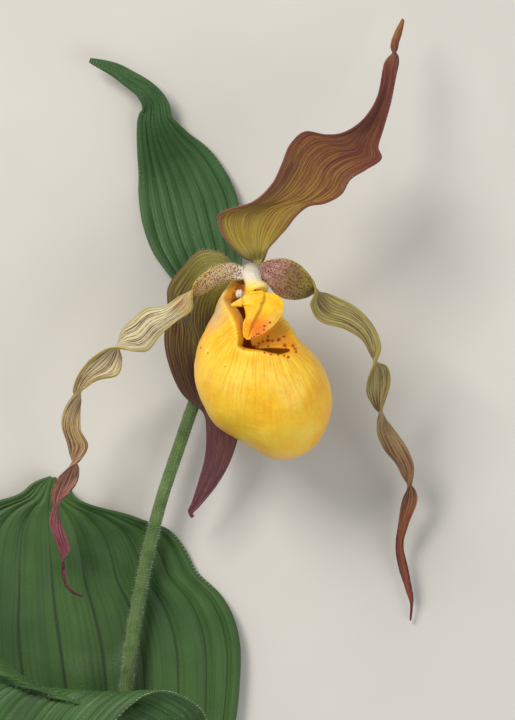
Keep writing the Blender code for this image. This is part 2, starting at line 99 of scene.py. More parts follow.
# Petals and sepals run from root to tip between two margins, left and right as seen down them from above. A
# row is the left margin's X and Y, the right margin's X and Y, the height halfway between, how far the left
# margin stands above that, and the curl, half the angle in degrees that the width is bent through. The
# margins cross over where a petal twists. The first row lies inside the column.
LEFT_PETAL = [
    (-0.6, -3.3, -0.6, -0.5, 36.6, 0.0, -8), (-2.5, -3.8, -2.3, -0.3, 36.0, 0.0, -12),
    (-4.5, -3.8, -4.5, 0.4, 36.2, 0.0, -22),
    (-7.7, -5.0, -8.5, -0.1, 37.4, -0.6, -28), (-10.2, -6.3, -11.7, -2.1, 37.6, -1.6, -26),
    (-12.7, -7.5, -13.9, -4.8, 37.2, -2.6, -10), (-15.5, -7.3, -14.4, -8.0, 36.4, -3.0, 28),
    (-18.0, -8.3, -14.7, -11.5, 35.5, -2.3, 22), (-21.7, -10.5, -18.2, -14.0, 34.2, -0.6, 20),
    (-26.0, -11.0, -22.5, -17.5, 32.8, 0.0, 24), (-29.2, -13.8, -25.5, -21.3, 31.4, -0.2, 28),
    (-32.0, -16.5, -29.0, -21.5, 30.3, -1.4, 34), (-32.8, -20.5, -32.7, -21.0, 29.2, -2.7, 32),
    (-32.0, -23.8, -36.3, -21.5, 28.3, -1.6, 26), (-33.3, -27.5, -40.3, -24.0, 26.8, 0.0, 22),
    (-37.6, -28.5, -43.1, -27.8, 25.3, 0.9, 25), (-41.3, -30.5, -44.4, -31.5, 24.1, 2.3, 28),
    (-44.3, -32.5, -42.6, -34.0, 23.1, 2.5, 27), (-46.4, -36.0, -42.6, -37.5, 22.0, 0.8, 22),
    (-47.2, -40.1, -42.4, -41.3, 20.7, 0.0, 20), (-45.7, -44.8, -40.6, -45.3, 19.1, -0.6, 22),
    (-44.7, -48.4, -42.7, -48.8, 17.8, -2.1, 26), (-43.0, -50.9, -46.2, -51.6, 16.6, -1.8, 27),
    (-43.5, -54.4, -49.2, -55.4, 15.6, -0.1, 24), (-46.2, -57.7, -50.0, -58.9, 14.6, 1.3, 24),
    (-49.2, -60.4, -48.6, -62.2, 13.8, 2.0, 24), (-50.3, -64.7, -47.0, -66.5, 12.8, 0.5, 20),
    (-48.3, -70.5, -45.5, -71.3, 11.7, -0.2, 18), (-47.1, -74.1, -47.0, -74.1, 11.1, -0.9, 14),
    (-46.3, -76.8, -47.8, -76.8, 10.7, -0.2, 10), (-46.1, -79.9, -46.6, -80.4, 10.4, 0.0, 5),
    (-44.3, -81.9, -44.8, -82.4, 10.2, 0.0, 0), (-42.0, -82.9, -42.0, -83.4, 10.4, 0.0, 0),
]

RIGHT_PETAL = [
    (2.0, 0.2, 1.8, -3.0, 36.6, 0.0, -6), (3.3, 0.6, 3.0, -3.8, 36.0, 0.0, -10),
    (5.0, 1.2, 4.4, -4.8, 36.2, 0.0, -18),
    (9.0, 1.4, 7.2, -7.8, 37.5, 0.0, -22), (12.7, -0.3, 11.0, -8.8, 37.5, 0.6, -22),
    (15.5, -3.6, 14.0, -8.3, 36.7, 2.3, -20), (16.2, -6.8, 16.0, -7.0, 35.6, 3.1, 30),
    (15.2, -10.5, 18.5, -7.0, 34.5, 1.9, 28), (17.5, -14.0, 22.0, -8.3, 33.2, 0.1, 24),
    (23.7, -15.8, 26.7, -10.8, 31.4, 0.0, 25), (28.0, -18.5, 30.7, -15.0, 29.4, -0.7, 28),
    (30.3, -22.7, 32.8, -20.2, 27.1, -2.1, 28), (32.1, -24.5, 31.5, -24.5, 25.3, -2.6, 28),
    (34.6, -25.8, 29.8, -28.0, 23.5, -1.2, 26), (35.1, -29.5, 29.3, -31.8, 21.8, 0.0, 24),
    (33.6, -34.5, 30.9, -35.5, 19.3, 1.4, 25), (32.1, -37.8, 33.2, -37.6, 17.6, 2.3, 26),
    (31.9, -41.6, 36.2, -41.3, 15.8, 0.7, 24), (33.7, -46.1, 39.5, -46.1, 13.9, 0.0, 24),
    (37.0, -49.9, 41.2, -50.4, 12.2, -0.4, 24), (39.3, -54.0, 40.7, -54.2, 10.6, -1.6, 24),
    (41.8, -57.0, 39.0, -57.7, 9.3, -0.8, 22), (42.0, -59.8, 38.0, -61.0, 8.3, 0.0, 20),
    (39.8, -65.3, 37.3, -65.8, 6.9, 0.3, 19), (38.5, -70.6, 36.8, -71.4, 5.6, 0.0, 17),
    (39.8, -76.7, 37.8, -76.7, 4.3, 0.0, 16), (40.6, -81.5, 39.3, -81.8, 3.2, 0.5, 14),
    (41.4, -85.1, 40.1, -85.1, 2.3, 0.0, 10), (40.6, -89.4, 40.4, -89.6, 1.0, 0.0, 0),
]

DORSAL_SEPAL = [
    (0.9, -0.4, 2.4, -0.4, 33.4, 0.0, 10),
    (0.2, 1.2, 3.4, 1.3, 32.4, 0.0, 10), (-2.5, 2.6, 4.7, 4.0, 34.4, 0.0, 20),
    (-6.0, 6.2, 6.7, 6.4, 35.6, 0.4, 24), (-7.7, 10.7, 9.2, 9.2, 36.8, 1.0, 26),
    (-6.0, 12.9, 11.7, 12.4, 37.6, 1.6, 28), (0.5, 15.4, 14.5, 14.7, 37.8, 1.4, 26),
    (5.0, 19.9, 18.7, 15.4, 37.0, 1.0, 22), (7.7, 25.1, 22.7, 17.9, 35.8, 0.6, 20),
    (10.0, 29.9, 25.0, 21.7, 34.4, 0.4, 20), (14.2, 33.4, 29.0, 24.0, 32.8, 0.4, 22),
    (19.7, 32.7, 32.8, 26.3, 30.6, 0.8, 26), (23.8, 33.2, 32.0, 29.3, 28.6, 1.4, 30),
    (28.0, 36.6, 33.3, 34.1, 26.0, 1.4, 32), (31.6, 41.9, 35.3, 41.2, 23.0, 1.0, 32),
    (33.4, 48.2, 36.4, 48.0, 20.0, 0.4, 30), (34.4, 52.1, 36.9, 52.5, 18.2, -0.4, 24),
    (36.2, 54.4, 35.9, 54.1, 17.0, -0.9, 18), (37.7, 57.4, 35.7, 56.6, 15.6, -0.2, 14),
    (38.7, 61.7, 38.2, 62.0, 13.6, 0.0, 0),
]

SYNSEPALUM = [
    (-3.6, -5.4, -3.4, -1.2, 29.4, 0.0, -10), (-5.2, -6.8, -7.0, 3.1, 28.6, 0.0, -20),
    (-7.0, -9.2, -12.5, 3.8, 26.8, 0.0, -28), (-8.0, -12.7, -17.0, -0.7, 23.8, 0.0, -30),
    (-7.4, -17.2, -20.3, -5.4, 20.0, 0.0, -26), (-6.0, -22.0, -20.3, -11.4, 16.6, 0.0, -22),
    (-4.3, -27.5, -21.4, -18.7, 14.2, 0.0, -20), (-3.3, -32.8, -20.1, -25.8, 12.6, 0.0, -20),
    (-2.5, -37.6, -17.1, -32.3, 11.8, 0.0, -20), (-2.8, -42.1, -12.1, -36.6, 11.6, 0.0, -22),
    (-3.5, -45.6, -11.1, -41.4, 11.6, 0.0, -22), (-5.5, -50.7, -11.3, -47.9, 11.4, 0.0, -20),
    (-8.6, -55.7, -12.6, -53.9, 11.0, 0.0, -16), (-12.6, -60.2, -14.4, -59.5, 10.6, 0.0, -8),
    (-14.6, -62.3, -15.4, -61.7, 10.4, 0.0, 0), (-14.1, -63.0, -14.6, -63.5, 10.6, 0.0, 0),
]

# The staminode is the shield at the column's tip. One wing is broad and the other a narrow bar.
STAMINODE = [
    (3.0, -6.6, 0.2, -6.8, 43.9, 0.0, -8), (3.6, -7.0, -0.6, -7.3, 44.0, 0.0, -10),
    (6.2, -7.5, -1.6, -8.1, 44.1, -0.2, -14), (7.9, -8.6, -4.7, -10.1, 44.2, -0.4, -10),
    (8.3, -10.2, -1.4, -10.5, 44.2, -0.4, -16), (8.1, -12.0, -1.0, -12.6, 44.2, -0.5, -20),
    (6.9, -13.9, -1.6, -14.6, 44.2, -0.4, -22), (4.9, -16.0, -1.8, -16.4, 44.3, -0.3, -18),
    (2.8, -17.3, -1.6, -17.8, 44.4, -0.1, -12), (-0.4, -18.7, -0.9, -18.6, 44.6, 0.0, 0),
]
# Where across each of those rows the keel starts and ends, from -1 at the left margin to 1 at the right one.
KEEL_SIDES = [
    (-0.8, 0.95), (-0.7, 0.95), (-0.19, 0.88), (-0.16, 0.40), (0.26, 0.88), (0.52, 0.85), (0.57, 0.73),
    (0.55, 0.68), (0.52, 0.66), (0.5, 0.6),
]
KEEL_HEIGHT = 1.0
KEEL_SLOPES = (0.1, 0.12)  # how much of the width its two slopes take
KEEL_START = 0.17  # where it starts, as a share of the shield's length
KEEL_RISE = 0.04  # over what share of the length it rises there
KEEL_END = 0.4  # over what share of the length it sinks towards the tip

# The upper leaf's foot wraps the stem. The leaf climbs, arches over the stem and droops to the lower left.
UPPER_LEAF = [
    (-33.6, -157.0, -31.7, -157.0, 2.5, 0.0, -159), (-33.6, -150.0, -31.6, -150.0, 2.5, 0.0, -158),
    (-34.2, -145.0, -31.2, -145.0, 2.9, 0.0, -146),
    (-35.8, -140.0, -28.8, -140.5, 4.0, 0.0, -122), (-39.5, -129.0, -24.0, -131.0, 7.0, 0.0, -80),
    (-49.0, -114.0, -15.4, -120.5, 12.0, 0.0, -48), (-63.0, -100.0, -11.2, -114.0, 16.0, -1.0, -34),
    (-76.0, -94.5, -16.0, -108.6, 20.0, -2.0, -28), (-86.0, -98.0, -23.5, -106.6, 23.0, -3.0, -26),
    (-93.0, -106.5, -31.0, -110.8, 23.8, -3.8, -24), (-98.5, -118.0, -41.0, -122.5, 22.0, -4.0, -24),
    (-102.5, -130.0, -55.5, -137.0, 17.8, -3.2, -24), (-105.5, -142.0, -72.5, -149.0, 12.6, -2.0, -22),
    (-107.0, -152.0, -90.0, -157.6, 8.2, -0.6, -18), (-107.6, -158.4, -101.8, -161.2, 5.8, 0.0, -12),
    (-107.6, -163.4, -107.1, -163.6, 4.6, 0.0, 0),
]

# The lower leaf and the bract run down their midribs. A row is X, Y, Z, half width and curl.
LOWER_LEAF = [
    (-32.4, -193.0, 2.0, 7.4, 156), (-32.6, -183.0, 2.0, 7.6, 156), (-33.4, -173.0, 1.3, 11.6, 96),
    (-35.4, -163.0, 0.6, 18.0, 34), (-38.8, -152.0, 0.4, 26.0, 12), (-41.6, -140.0, 0.4, 33.6, 7),
    (-44.0, -126.0, 0.4, 39.5, 5), (-45.8, -112.0, 0.4, 43.4, 4), (-47.4, -100.0, 0.4, 45.0, 4),
    (-48.8, -90.0, 0.5, 42.6, 4), (-49.8, -81.6, 0.8, 37.0, 4), (-50.4, -73.4, 1.2, 33.6, 4),
    (-50.8, -67.0, 1.6, 28.6, 4), (-50.8, -62.4, 2.0, 20.5, 5), (-50.6, -58.8, 2.4, 8.6, 8),
    (-50.2, -55.6, 2.8, 4.6, 8), (-49.8, -53.4, 3.2, 0.5, 0),
]

LEAF_REST = (-40.0, -88.0, 13.0)  # where the lower leaf lies flat on the table: X, Y and radius

BRACT = [
    (-8.9, -15.6, 6.4, 4.4, 88), (-9.2, -10.0, 5.6, 6.6, 68), (-10.2, -4.0, 4.2, 9.2, 46),
    (-11.8, 2.0, 2.8, 11.2, 30), (-13.8, 8.4, 1.6, 12.3, 20), (-15.8, 16.0, 0.8, 12.2, 15),
    (-18.4, 23.4, 0.5, 10.4, 14), (-21.6, 30.2, 0.9, 7.2, 18), (-23.6, 36.0, 2.0, 4.9, 22),
    (-24.0, 40.6, 3.2, 3.6, 26), (-26.4, 44.2, 4.4, 2.8, 28), (-30.4, 47.0, 5.2, 2.2, 26),
    (-34.6, 49.6, 5.6, 1.5, 20), (-40.4, 51.8, 5.6, 0.35, 0),
]

ANTHER_PLACES = {"anther_left": (-2.6, -7.3, 37.6), "anther_right": (4.4, -8.0, 39.6)}
ANTHER_RADII = (1.0, 1.2, 0.9)
ANTHER_FURROW = (0.16, 0.16)  # how deep and how wide its furrow is, as shares of its radius
ANTHER_BUMPS = (0.05, 3)  # how high its bumps are and how often they come, in shares of its radius

# The lip is a pouch: its outline as seen from above, as an angle and a distance from its middle.
LIP_MIDDLE = (3.8, -30.0, 29.0)
LIP_OUTLINE = [
    (0, 15.8), (19, 14.6), (38, 13.8), (55, 13.9), (67, 15.7), (80, 18.1), (88, 21.2), (96, 23.2),
    (103, 25.2), (109, 25.6), (116, 24.4), (125, 21.5), (138, 19.9), (164, 18.0), (180, 16.9), (199, 15.8),
    (218, 15.6), (241, 14.8), (258, 15.6), (275, 18.0), (288, 19.1), (305, 19.3), (323, 18.3), (341, 17.2),
]
LIP_FRONT_DEPTH = 16.5
LIP_BACK_DEPTH = 13.6
LIP_FULLNESS = 2.2  # 2 would be an ellipse in depth
LIP_TILT = 0.25  # the pouch leans back towards its toe
MOUTH_WAY = (-0.05, 0.80, 0.60)  # the way that the mouth faces
MOUTH_ANGLES = [
    (0, 37), (30, 29), (60, 31), (90, 40), (120, 42), (150, 26), (180, 19), (210, 21), (240, 27),
    (270, 27), (300, 32), (330, 35),
]
# The free edge of the folded-in mouth, round the way that the mouth faces: an angle, X, Y and Z.
LIP_FOLD = [
    (0, 7.5, -20.8, 40.9), (15, 4.5, -20.8, 41.0), (30, 2.0, -21.0, 41.0), (45, 0.4, -20.0, 40.6),
    (60, 0.1, -18.0, 39.6), (75, 1.0, -15.0, 38.0), (90, 1.8, -11.5, 35.2), (105, -0.8, -8.8, 33.6),
    (120, -3.4, -8.6, 33.6), (135, -4.6, -9.8, 36.2), (150, -3.4, -11.2, 39.4), (165, -2.4, -12.8, 41.0),
    (180, -1.9, -14.4, 41.8), (195, -1.8, -16.3, 42.4), (210, -1.9, -18.4, 42.8), (225, -2.3, -20.4, 43.2),
    (240, -1.2, -21.1, 43.6), (255, 0.9, -21.5, 44.0), (270, 3.0, -21.8, 43.9), (285, 5.2, -22.4, 43.4),
    (300, 7.5, -22.7, 42.6), (315, 9.2, -22.3, 41.4), (330, 10.3, -21.6, 40.8), (345, 9.6, -20.9, 40.8),
]
FOLD_STEPS = 14
FOLD_CREST = 0.5  # how far the fold rises over the rim
CREST_PLACE = 0.3  # how far in from the rim it is highest, as a share
FOLD_ON_MAP = 0.12  # how much of the skin's map the fold takes
LIP_SWELLS = [(0.22, 0.16), (0.07, 0.5)]  # how far the skin swells and sinks, and how often a millimetre
FURROW_DEPTH = 0.07
FURROWS = 42
FURROW_DRIFT = (3, 0.3)  # how far noise leads the furrows astray, in radians, and how often a millimetre
FURROW_BAND = (0.1, 0.12)  # how far down from the rim they are deepest, and how wide their band is
FURROW_SIDE = 330  # the angle, round the way that the mouth faces, where they are deepest
# Places where the lip's rim is drawn out, as an ear beside the column and as a corner at its lower left:
# an angle, how many degrees it takes, and how far along X, Y and Z.
RIM_PULLS = [(106, 9, (-0.9, 2.2, 0.4)), (229, 12, (-1.1, -0.4, 0.0))]
PULL_DEPTH = 0.06  # how far down from the rim the pulls reach, as a share of the skin

LOWER_LEAF_PLEATS = 12
BRACT_PLEATS = 9
UPPER_LEAF_PLEATS = 9
PLEAT_START = 0.25  # over what share of its length a leaf's pleats rise
PLEAT_END = 0.15
RIPPLE_ENDS = 0.12  # over what share of its length, at either end, a petal's ripples rise
RIB_ENDS = 0.08  # the same for fine ribs
LEAF_MARGIN_LAG = 0.9  # by how much of a wave, in radians, the right margin is out of step with the left
PETAL_MARGIN_LAG = 1.7
UNEVEN_ACROSS = 3.0  # how often a blade's slow unevenness comes in half its width, and in its length
UNEVEN_DOWN = 9.0
SLOPE_STEP = 0.008  # how far ahead and behind the way of a blade is measured, as a share of its rows
LEAST_CURL = 0.5  # in degrees, so that a flat blade has a radius too
FINE_RIBS = 3  # fine ribs to each pleat
SOFT_EDGE = 0.4  # how wide the ring is where the lower leaf comes down to its rest, as a share of the radius
LOWER_LEAF_SPREAD = 78.0  # in degrees: the more, the closer the lower leaf's pleats lie at its margins
TUBE_SWELL = (0.06, 0.5)  # how uneven the stem and the column are, and how often a millimetre

LIP_RINGS = 110
LIP_SIDES = 190

HAIR_BATCH = 100  # hairs are made a hundred at a time, which is much quicker than all at once
HAIR_LENGTHS = (0.6, 1.15)  # the shortest and the longest hair, as shares of the usual length
HAIR_ASTRAY = 0.35  # how far a hair leans off the straight way out, at most, along X, Y and Z
HAIR_ROOT = 0.1  # how deep a hair's root sits
HAIR_TIP = 1 / 6  # a hair's tip as a share of its root
MARGIN_LEAN = 0.25  # how far a margin's hairs lean out of the blade

# Marks as seen from above: X, Y and radius in millimetres.
# Painted shade: brown marks in the deep hollow beside the column, on the folded-in rim only.
LIP_HOLLOW_SHADE = [(-2.3, -4.4, 1.1), (-2.5, -6.0, 1.5), (-3.1, -7.6, 1.6), (-3.9, -9.0, 1.1)]
LIP_MARKS = [
    (7.2, -18.7, 0.6), (8.5, -17.9, 0.45), (4.5, -18.9, 0.6), (5.6, -18.9, 0.4), (4.5, -17.9, 0.35),
    (3.2, -19.2, 0.4), (2.2, -19.6, 0.4), (2.0, -20.4, 0.35), (1.2, -20.3, 0.35), (4.5, -20.3, 0.4),
    (8.7, -20.1, 0.6), (10.7, -20.3, 0.5), (11.2, -20.9, 0.45), (11.5, -21.7, 0.45), (9.5, -23.0, 0.45),
    (8.5, -22.7, 0.35), (7.0, -22.4, 0.3), (5.2, -22.4, 0.3), (3.6, -22.0, 0.3), (-1.5, -20.9, 0.25),
    (-12.2, -20.7, 0.3), (-10.5, -22.0, 0.25), (-6.2, -25.4, 0.2),
]
STAMINODE_MARKS = [
    (5.0, -14.4, 0.35), (3.6, -15.3, 0.35), (3.5, -16.2, 0.3), (2.2, -17.2, 0.3), (1.7, -17.3, 0.3),
    (1.0, -17.9, 0.3), (0.4, -18.2, 0.25),
]
STAMINODE_POINTS = [(0.9, -15.7, 0.15), (-0.7, -14.7, 0.12)]
# Painted shade: two dark points where the column has a slit.
COLUMN_SLIT_SHADE = [(1.3, -6.3, 0.22), (1.4, -7.0, 0.22)]
RAGGED = 1.2  # how ragged a mark's rim is, as a share of its radius
SOFT_RIM = 0.4  # how wide its soft rim is

# Where the colour changes from a middle, X, Y and Z, or between two heights.
# middle of the painted orange glow on the shield
STAMINODE_GLOW = (1.8, -15.6, 44.0)
LIP_SHOULDER = (-6.6, -11.0, 37.0)
LIP_SHADE = (14.0, 38.0)  # painted shade: the pouch is painted darker and warmest under the first height, and not at all above the second
LIP_MARK_HEIGHTS = (29.0, 32.0)  # red marks show only above these, so that none is on its underside
COLUMN_YELLOW = (1.6, -6.2)  # the column turns from white to yellow between these two Ys

CAMERA_HEIGHT = 3.0
SEEN_PLANE = 0.030  # the height, in metres, at which a pixel is PIXEL wide
PIXEL = 0.00025
PHOTO_SIZE = (515, 720)
HEART_PIXEL = (250, 265)
SENSOR = 24.0  # in millimetres
FLOOR_SIZE = 4.0  # half the board's side, in metres
FLOOR_GAP = 0.0002  # how far, in metres, the board lies under the part

# The side petals' stripes, and how strong they are, from root to tip.
PETAL_STRIPE = [(0.0, "#7A3A2E"), (0.3, "#4A141C"), (0.7, "#541428"), (1.0, "#2E0E16")]
PETAL_STRIPE_AMOUNT = [(0.0, "#202020"), (0.12, "#606060"), (0.18, "#F0F0F0"), (1.0, "#FFFFFF")]

# How many waves of noise there are to a millimetre, in each pattern.
DRIFT_WAVES = 0.22  # the slow drift of veins and stripes
RAGGED_WAVES = 2.4  # the ragged rims of the red marks
BREAK_WAVES = 0.9  # where a stripe breaks off, about each millimetre
MOTTLE_WAVES = 0.35  # patches of 3 mm where a petal's colour changes sooner or later
LEAF_PATCH_WAVES = 0.05  # patches of 20 mm of lighter and darker leaf
LEAF_GRAIN_WAVES = 2.2  # the leaf's cells, drawn half a millimetre wide because real ones don't show
PETAL_GRAIN_WAVES = 2.0  # the same in petals and sepals
LIP_PATCH_WAVES = 0.09
# the patches of painted shade low on the pouch
LIP_SHADE_PATCH_WAVES = 0.16
LIP_FLECK_WAVES = 1.3
SHIELD_PATCH_WAVES = 0.5
SHIELD_GRAIN_WAVES = 2.2
COLUMN_PATCH_WAVES = 0.9
COLUMN_GRAIN_WAVES = 1.8
POLLEN_WAVES = 3.0
STEM_PATCH_WAVES = 0.25
HAIR_TINT_WAVES = 0.8
FLOOR_MOTTLE_WAVES = 0.02


def curve_through(a, b, c, d, f):
    """The value a share f of the way from b to c, on a smooth curve that also passes a and d."""
    return 0.5 * (2 * b + (c - a) * f + (2 * a - 5 * b + 4 * c - d) * f**2 + (3 * b - a - 3 * c + d) * f**3)


def smooth_row(rows, t):
    """The row a share t of the way down the table, on a smooth curve through every row."""
    place = min(max(t, 0.0), 1.0) * (len(rows) - 1)
    at = min(int(place), len(rows) - 2)
    near = (rows[min(max(at + k, 0), len(rows) - 1)] for k in (-1, 0, 1, 2))
    return [curve_through(*values, place - at) for values in zip(*near)]


def smooth_round(pairs, angle):
    """The value at an angle in degrees, on a smooth closed curve through (angle, value) pairs."""
    turn = angle % 360
    at = max(k for k, pair in enumerate(pairs) if pair[0] <= turn)
    start, end = pairs[at], pairs[(at + 1) % len(pairs)]
    share = (turn - start[0]) / ((end[0] - start[0]) % 360)
    return curve_through(pairs[at - 1][1], start[1], end[1], pairs[(at + 2) % len(pairs)][1], share)


def between_margins(row):
    """The middle, the way across, the half width and the curl of a row that gives two margins."""
    left_x, left_y, right_x, right_y, height, rise, curl = row
    left = Vector((left_x, left_y, height + rise))
    right = Vector((right_x, right_y, height - rise))
    return (left + right) / 2, right - left, curl


def blade_frames(rows, along):
    """The midrib, side, normal, bend radius and curl at along + 1 places down a blade."""
    found = []
    for k in range(along + 1):
        t = k / along
        row = smooth_row(rows, t)
        ahead, behind = (smooth_row(rows, t + step) for step in (SLOPE_STEP, -SLOPE_STEP))
        if len(row) == 7:
            middle, across, curl = between_margins(row)
            tangent = (between_margins(ahead)[0] - between_margins(behind)[0]).normalized()
        else:
            middle, curl = Vector(row[:3]), row[4]
            tangent = (Vector(ahead[:3]) - Vector(behind[:3])).normalized()
            across = tangent.cross(Vector((0, 0, 1))).normalized() * 2 * row[3]
        curl = math.radians(curl if abs(curl) > LEAST_CURL else LEAST_CURL)
        side = across.normalized()
        normal = side.cross(tangent).normalized()
        if len(row) == 7:
            radius = across.length / 2 / math.sin(curl)
            middle = middle - normal * radius * (1 - math.cos(curl))
        else:
            radius = row[3] / curl
        found.append((middle, side, normal, radius, curl))
    return found


def across_blade(frame, u, lift):
    """The point at u, from -1 at the left margin to 1 at the right one, raised from the blade by lift."""
    middle, side, normal, radius, curl = frame
    bend = curl * u
    point = middle + side * radius * math.sin(bend) + normal * radius * (1 - math.cos(bend))
    return point + (normal * math.cos(bend) - side * math.sin(bend)) * lift


def fade_ends(t, root, tip):
    """1 along the middle of a blade, falling to 0 over the stated shares at its root and its tip."""
    return max(0.0, min(t / root, (1 - t) / tip, 1.0))


def pleats(count, height, wave, waves):
    """The lift of a pleated leaf whose margin waves: a groove at each vein and a ridge between."""

    def lift(v, t):
        fold = abs(math.sin(math.pi * count * (v + 1) / 2))
        margin = abs(v) ** 3 * math.sin(2 * math.pi * waves * t + (LEAF_MARGIN_LAG if v > 0 else 0.0))
        return fade_ends(t, PLEAT_START, PLEAT_END) * (height * fold + wave * margin)

    return lift


def ripple(height, waves, phase=0.0):
    """The lift of a petal whose two margins ripple out of step."""

    def lift(v, t):
        shift = phase + (PETAL_MARGIN_LAG if v > 0 else 0.0)
        rippled = height * v**2 * math.sin(2 * math.pi * waves * t + shift)
        return fade_ends(t, RIPPLE_ENDS, RIPPLE_ENDS) * rippled

    return lift


def with_ribs(lift, count, height, waver):
    """A lift with fine ribs added, and a slow unevenness."""

    def ribbed(v, t):
        rib = height * abs(math.sin(math.pi * count * (v + 1) / 2))
        uneven = waver * noise.noise(Vector((v * UNEVEN_ACROSS, t * UNEVEN_DOWN, count)))
        return lift(v, t) + fade_ends(t, RIB_ENDS, RIB_ENDS) * (rib + uneven)

    return ribbed


def shield_keel(v, t):
    """The lift of the shield: a flat keel that narrows from the whole of its root to a ridge at its tip."""
    first, last = smooth_row(KEEL_SIDES, t)
    rise = min(max((v - first + KEEL_SLOPES[0]) / KEEL_SLOPES[0], 0.0), 1.0)
    fall = min(max((last + KEEL_SLOPES[1] - v) / KEEL_SLOPES[1], 0.0), 1.0)
    inside = math.sin(math.pi / 2 * rise) * math.sin(math.pi / 2 * fall)
    start = min(max((t - KEEL_START) / KEEL_RISE, 0.0), 1.0)
    end = min((1 - t) / KEEL_END, 1.0)
    return KEEL_HEIGHT * inside * start * end


def drawn_in(rows, count, share):
    """The same rows, with the margins of the last few drawn towards their middle by a share."""
    drawn = []
    for left_x, left_y, right_x, right_y, *rest in rows[-count:]:
        x, y = (left_x + right_x) / 2, (left_y + right_y) / 2
        left = (left_x + (x - left_x) * share, left_y + (y - left_y) * share)
        right = (right_x + (x - right_x) * share, right_y + (y - right_y) * share)
        drawn.append((*left, *right, *rest))
    return rows[:-count] + drawn


def tube_frames(rows, along):
    """The middle, two ways across and radius at along + 1 places down a tube, without twist between them."""
    found = []
    normal = Vector((1.0, 0.0, 0.0))
    for k in range(along + 1):
        row = smooth_row(rows, k / along)
        ahead, behind = (Vector(smooth_row(rows, k / along + step)[:3]) for step in (0.01, -0.01))
        tangent = (ahead - behind).normalized()
        side = tangent.cross(normal).normalized()
        normal = side.cross(tangent)
        found.append((Vector(row[:3]), side, normal, row[3]))
    return found


def mouth_axes():
    """The way the mouth faces, and the two ways across it."""
    way = Vector(MOUTH_WAY).normalized()
    right = (Vector((1, 0, 0)) - way * way.x).normalized()
    return way, right, way.cross(right)


def on_lip(polar, turn):
    """The point of the pouch at an angle from the mouth's way and a turn round that way, in degrees."""
    way, right, back = mouth_axes()
    polar, turn = math.radians(polar), math.radians(turn)
    out = way * math.cos(polar) + (right * math.cos(turn) + back * math.sin(turn)) * math.sin(polar)
    outline = smooth_round(LIP_OUTLINE, math.degrees(math.atan2(out.y, out.x)))
    depth = LIP_FRONT_DEPTH if out.z > 0 else LIP_BACK_DEPTH
    flat = math.hypot(out.x, out.y)
    reach = ((flat / outline) ** LIP_FULLNESS + (abs(out.z) / depth) ** LIP_FULLNESS) ** (-1 / LIP_FULLNESS)
    point = out * reach
    point.z += LIP_TILT * point.y
    return Vector(LIP_MIDDLE) + point


def hex_colour(code):
    """An sRGB hex value as linear red, green, blue and alpha."""
    shares = (int(code[k:k + 2], 16) / 255 for k in (1, 3, 5))
    return (*(c / 12.92 if c <= 0.04045 else ((c + 0.055) / 1.055) ** 2.4 for c in shares), 1.0)


def add(tree, kind, inputs=None, output=None, stops=None, **settings):
    """Adds a node with its settings, fills its inputs by name or number, and gives the output asked for."""
    made = tree.nodes.new(kind)
    for name, value in settings.items():
        setattr(made, name, value)
    if stops:
        ramp = made.color_ramp.elements
        while len(ramp) < len(stops):
            ramp.new(0.5)
        for mark, (place, code) in zip(ramp, stops):
            mark.position = place
            mark.color = hex_colour(code)
    shown = [socket for socket in made.inputs if socket.enabled]
    for place, value in (inputs or {}).items():
        socket = shown[place] if isinstance(place, int) else next(s for s in shown if s.name == place)
        if isinstance(value, bpy.types.NodeSocket):
            tree.links.new(value, socket)
        else:
            socket.default_value = value
    if output:
        return made.outputs[output]
    return next((socket for socket in made.outputs if socket.enabled), made)


def new_material(name, roughness, **values):
    """A material with its shader's even values set: its tree and its shader."""
    made = bpy.data.materials.new(name)
    made.use_nodes = True
    shader = made.node_tree.nodes["Principled BSDF"]
    shader.inputs["Roughness"].default_value = roughness
    for place, value in values.items():
        shader.inputs[place.replace("_", " ")].default_value = value
    return made, made.node_tree, shader


def millimetres(tree):
    """A point's place in millimetres from under the flower's heart."""
    place = add(tree, "ShaderNodeTexCoord", output="Object")
    inputs = {0: place, 1: (1 / MM, 1 / MM, 1 / MM), 2: (-HEART_PLACE[0], -HEART_PLACE[1], 0.0)}
    return add(tree, "ShaderNodeVectorMath", inputs, operation="MULTIPLY_ADD")


def blade_places(tree):
    """How far across a blade a point is, and how far down it, both from 0 to 1."""
    across = add(tree, "ShaderNodeSeparateXYZ", {0: add(tree, "ShaderNodeTexCoord", output="UV")}, "X")
    return across, across.node.outputs["Y"]


def laid_over(tree, base, share, amount, over):
    """A colour laid over another, by an amount, where the share is 1."""
    much = add(tree, "ShaderNodeMath", {0: share, 1: amount}, operation="MULTIPLY")
    return add(tree, "ShaderNodeMix", {"Factor": much, "A": base, "B": over}, data_type="RGBA")


def lines_across(tree, across, count, wobble, width):
    """Thin lines down a blade: 1 on a line and 0 between, count of them, led a little astray by noise."""
    inputs = {"Vector": millimetres(tree), "Scale": DRIFT_WAVES, "Detail": 2.0}
    astray = add(tree, "ShaderNodeTexNoise", inputs)
    shifted = add(tree, "ShaderNodeMath", {0: astray, 1: wobble, 2: across}, operation="MULTIPLY_ADD")
    angle = add(tree, "ShaderNodeMath", {0: shifted, 1: math.pi * count}, operation="MULTIPLY")
    wave = add(tree, "ShaderNodeMath", {0: angle}, operation="SINE")
    away = add(tree, "ShaderNodeMath", {0: wave}, operation="ABSOLUTE")
    inputs = {"Value": away, "From Max": width, "To Min": 1.0, "To Max": 0.0}
    return add(tree, "ShaderNodeMapRange", inputs, interpolation_type="SMOOTHSTEP")


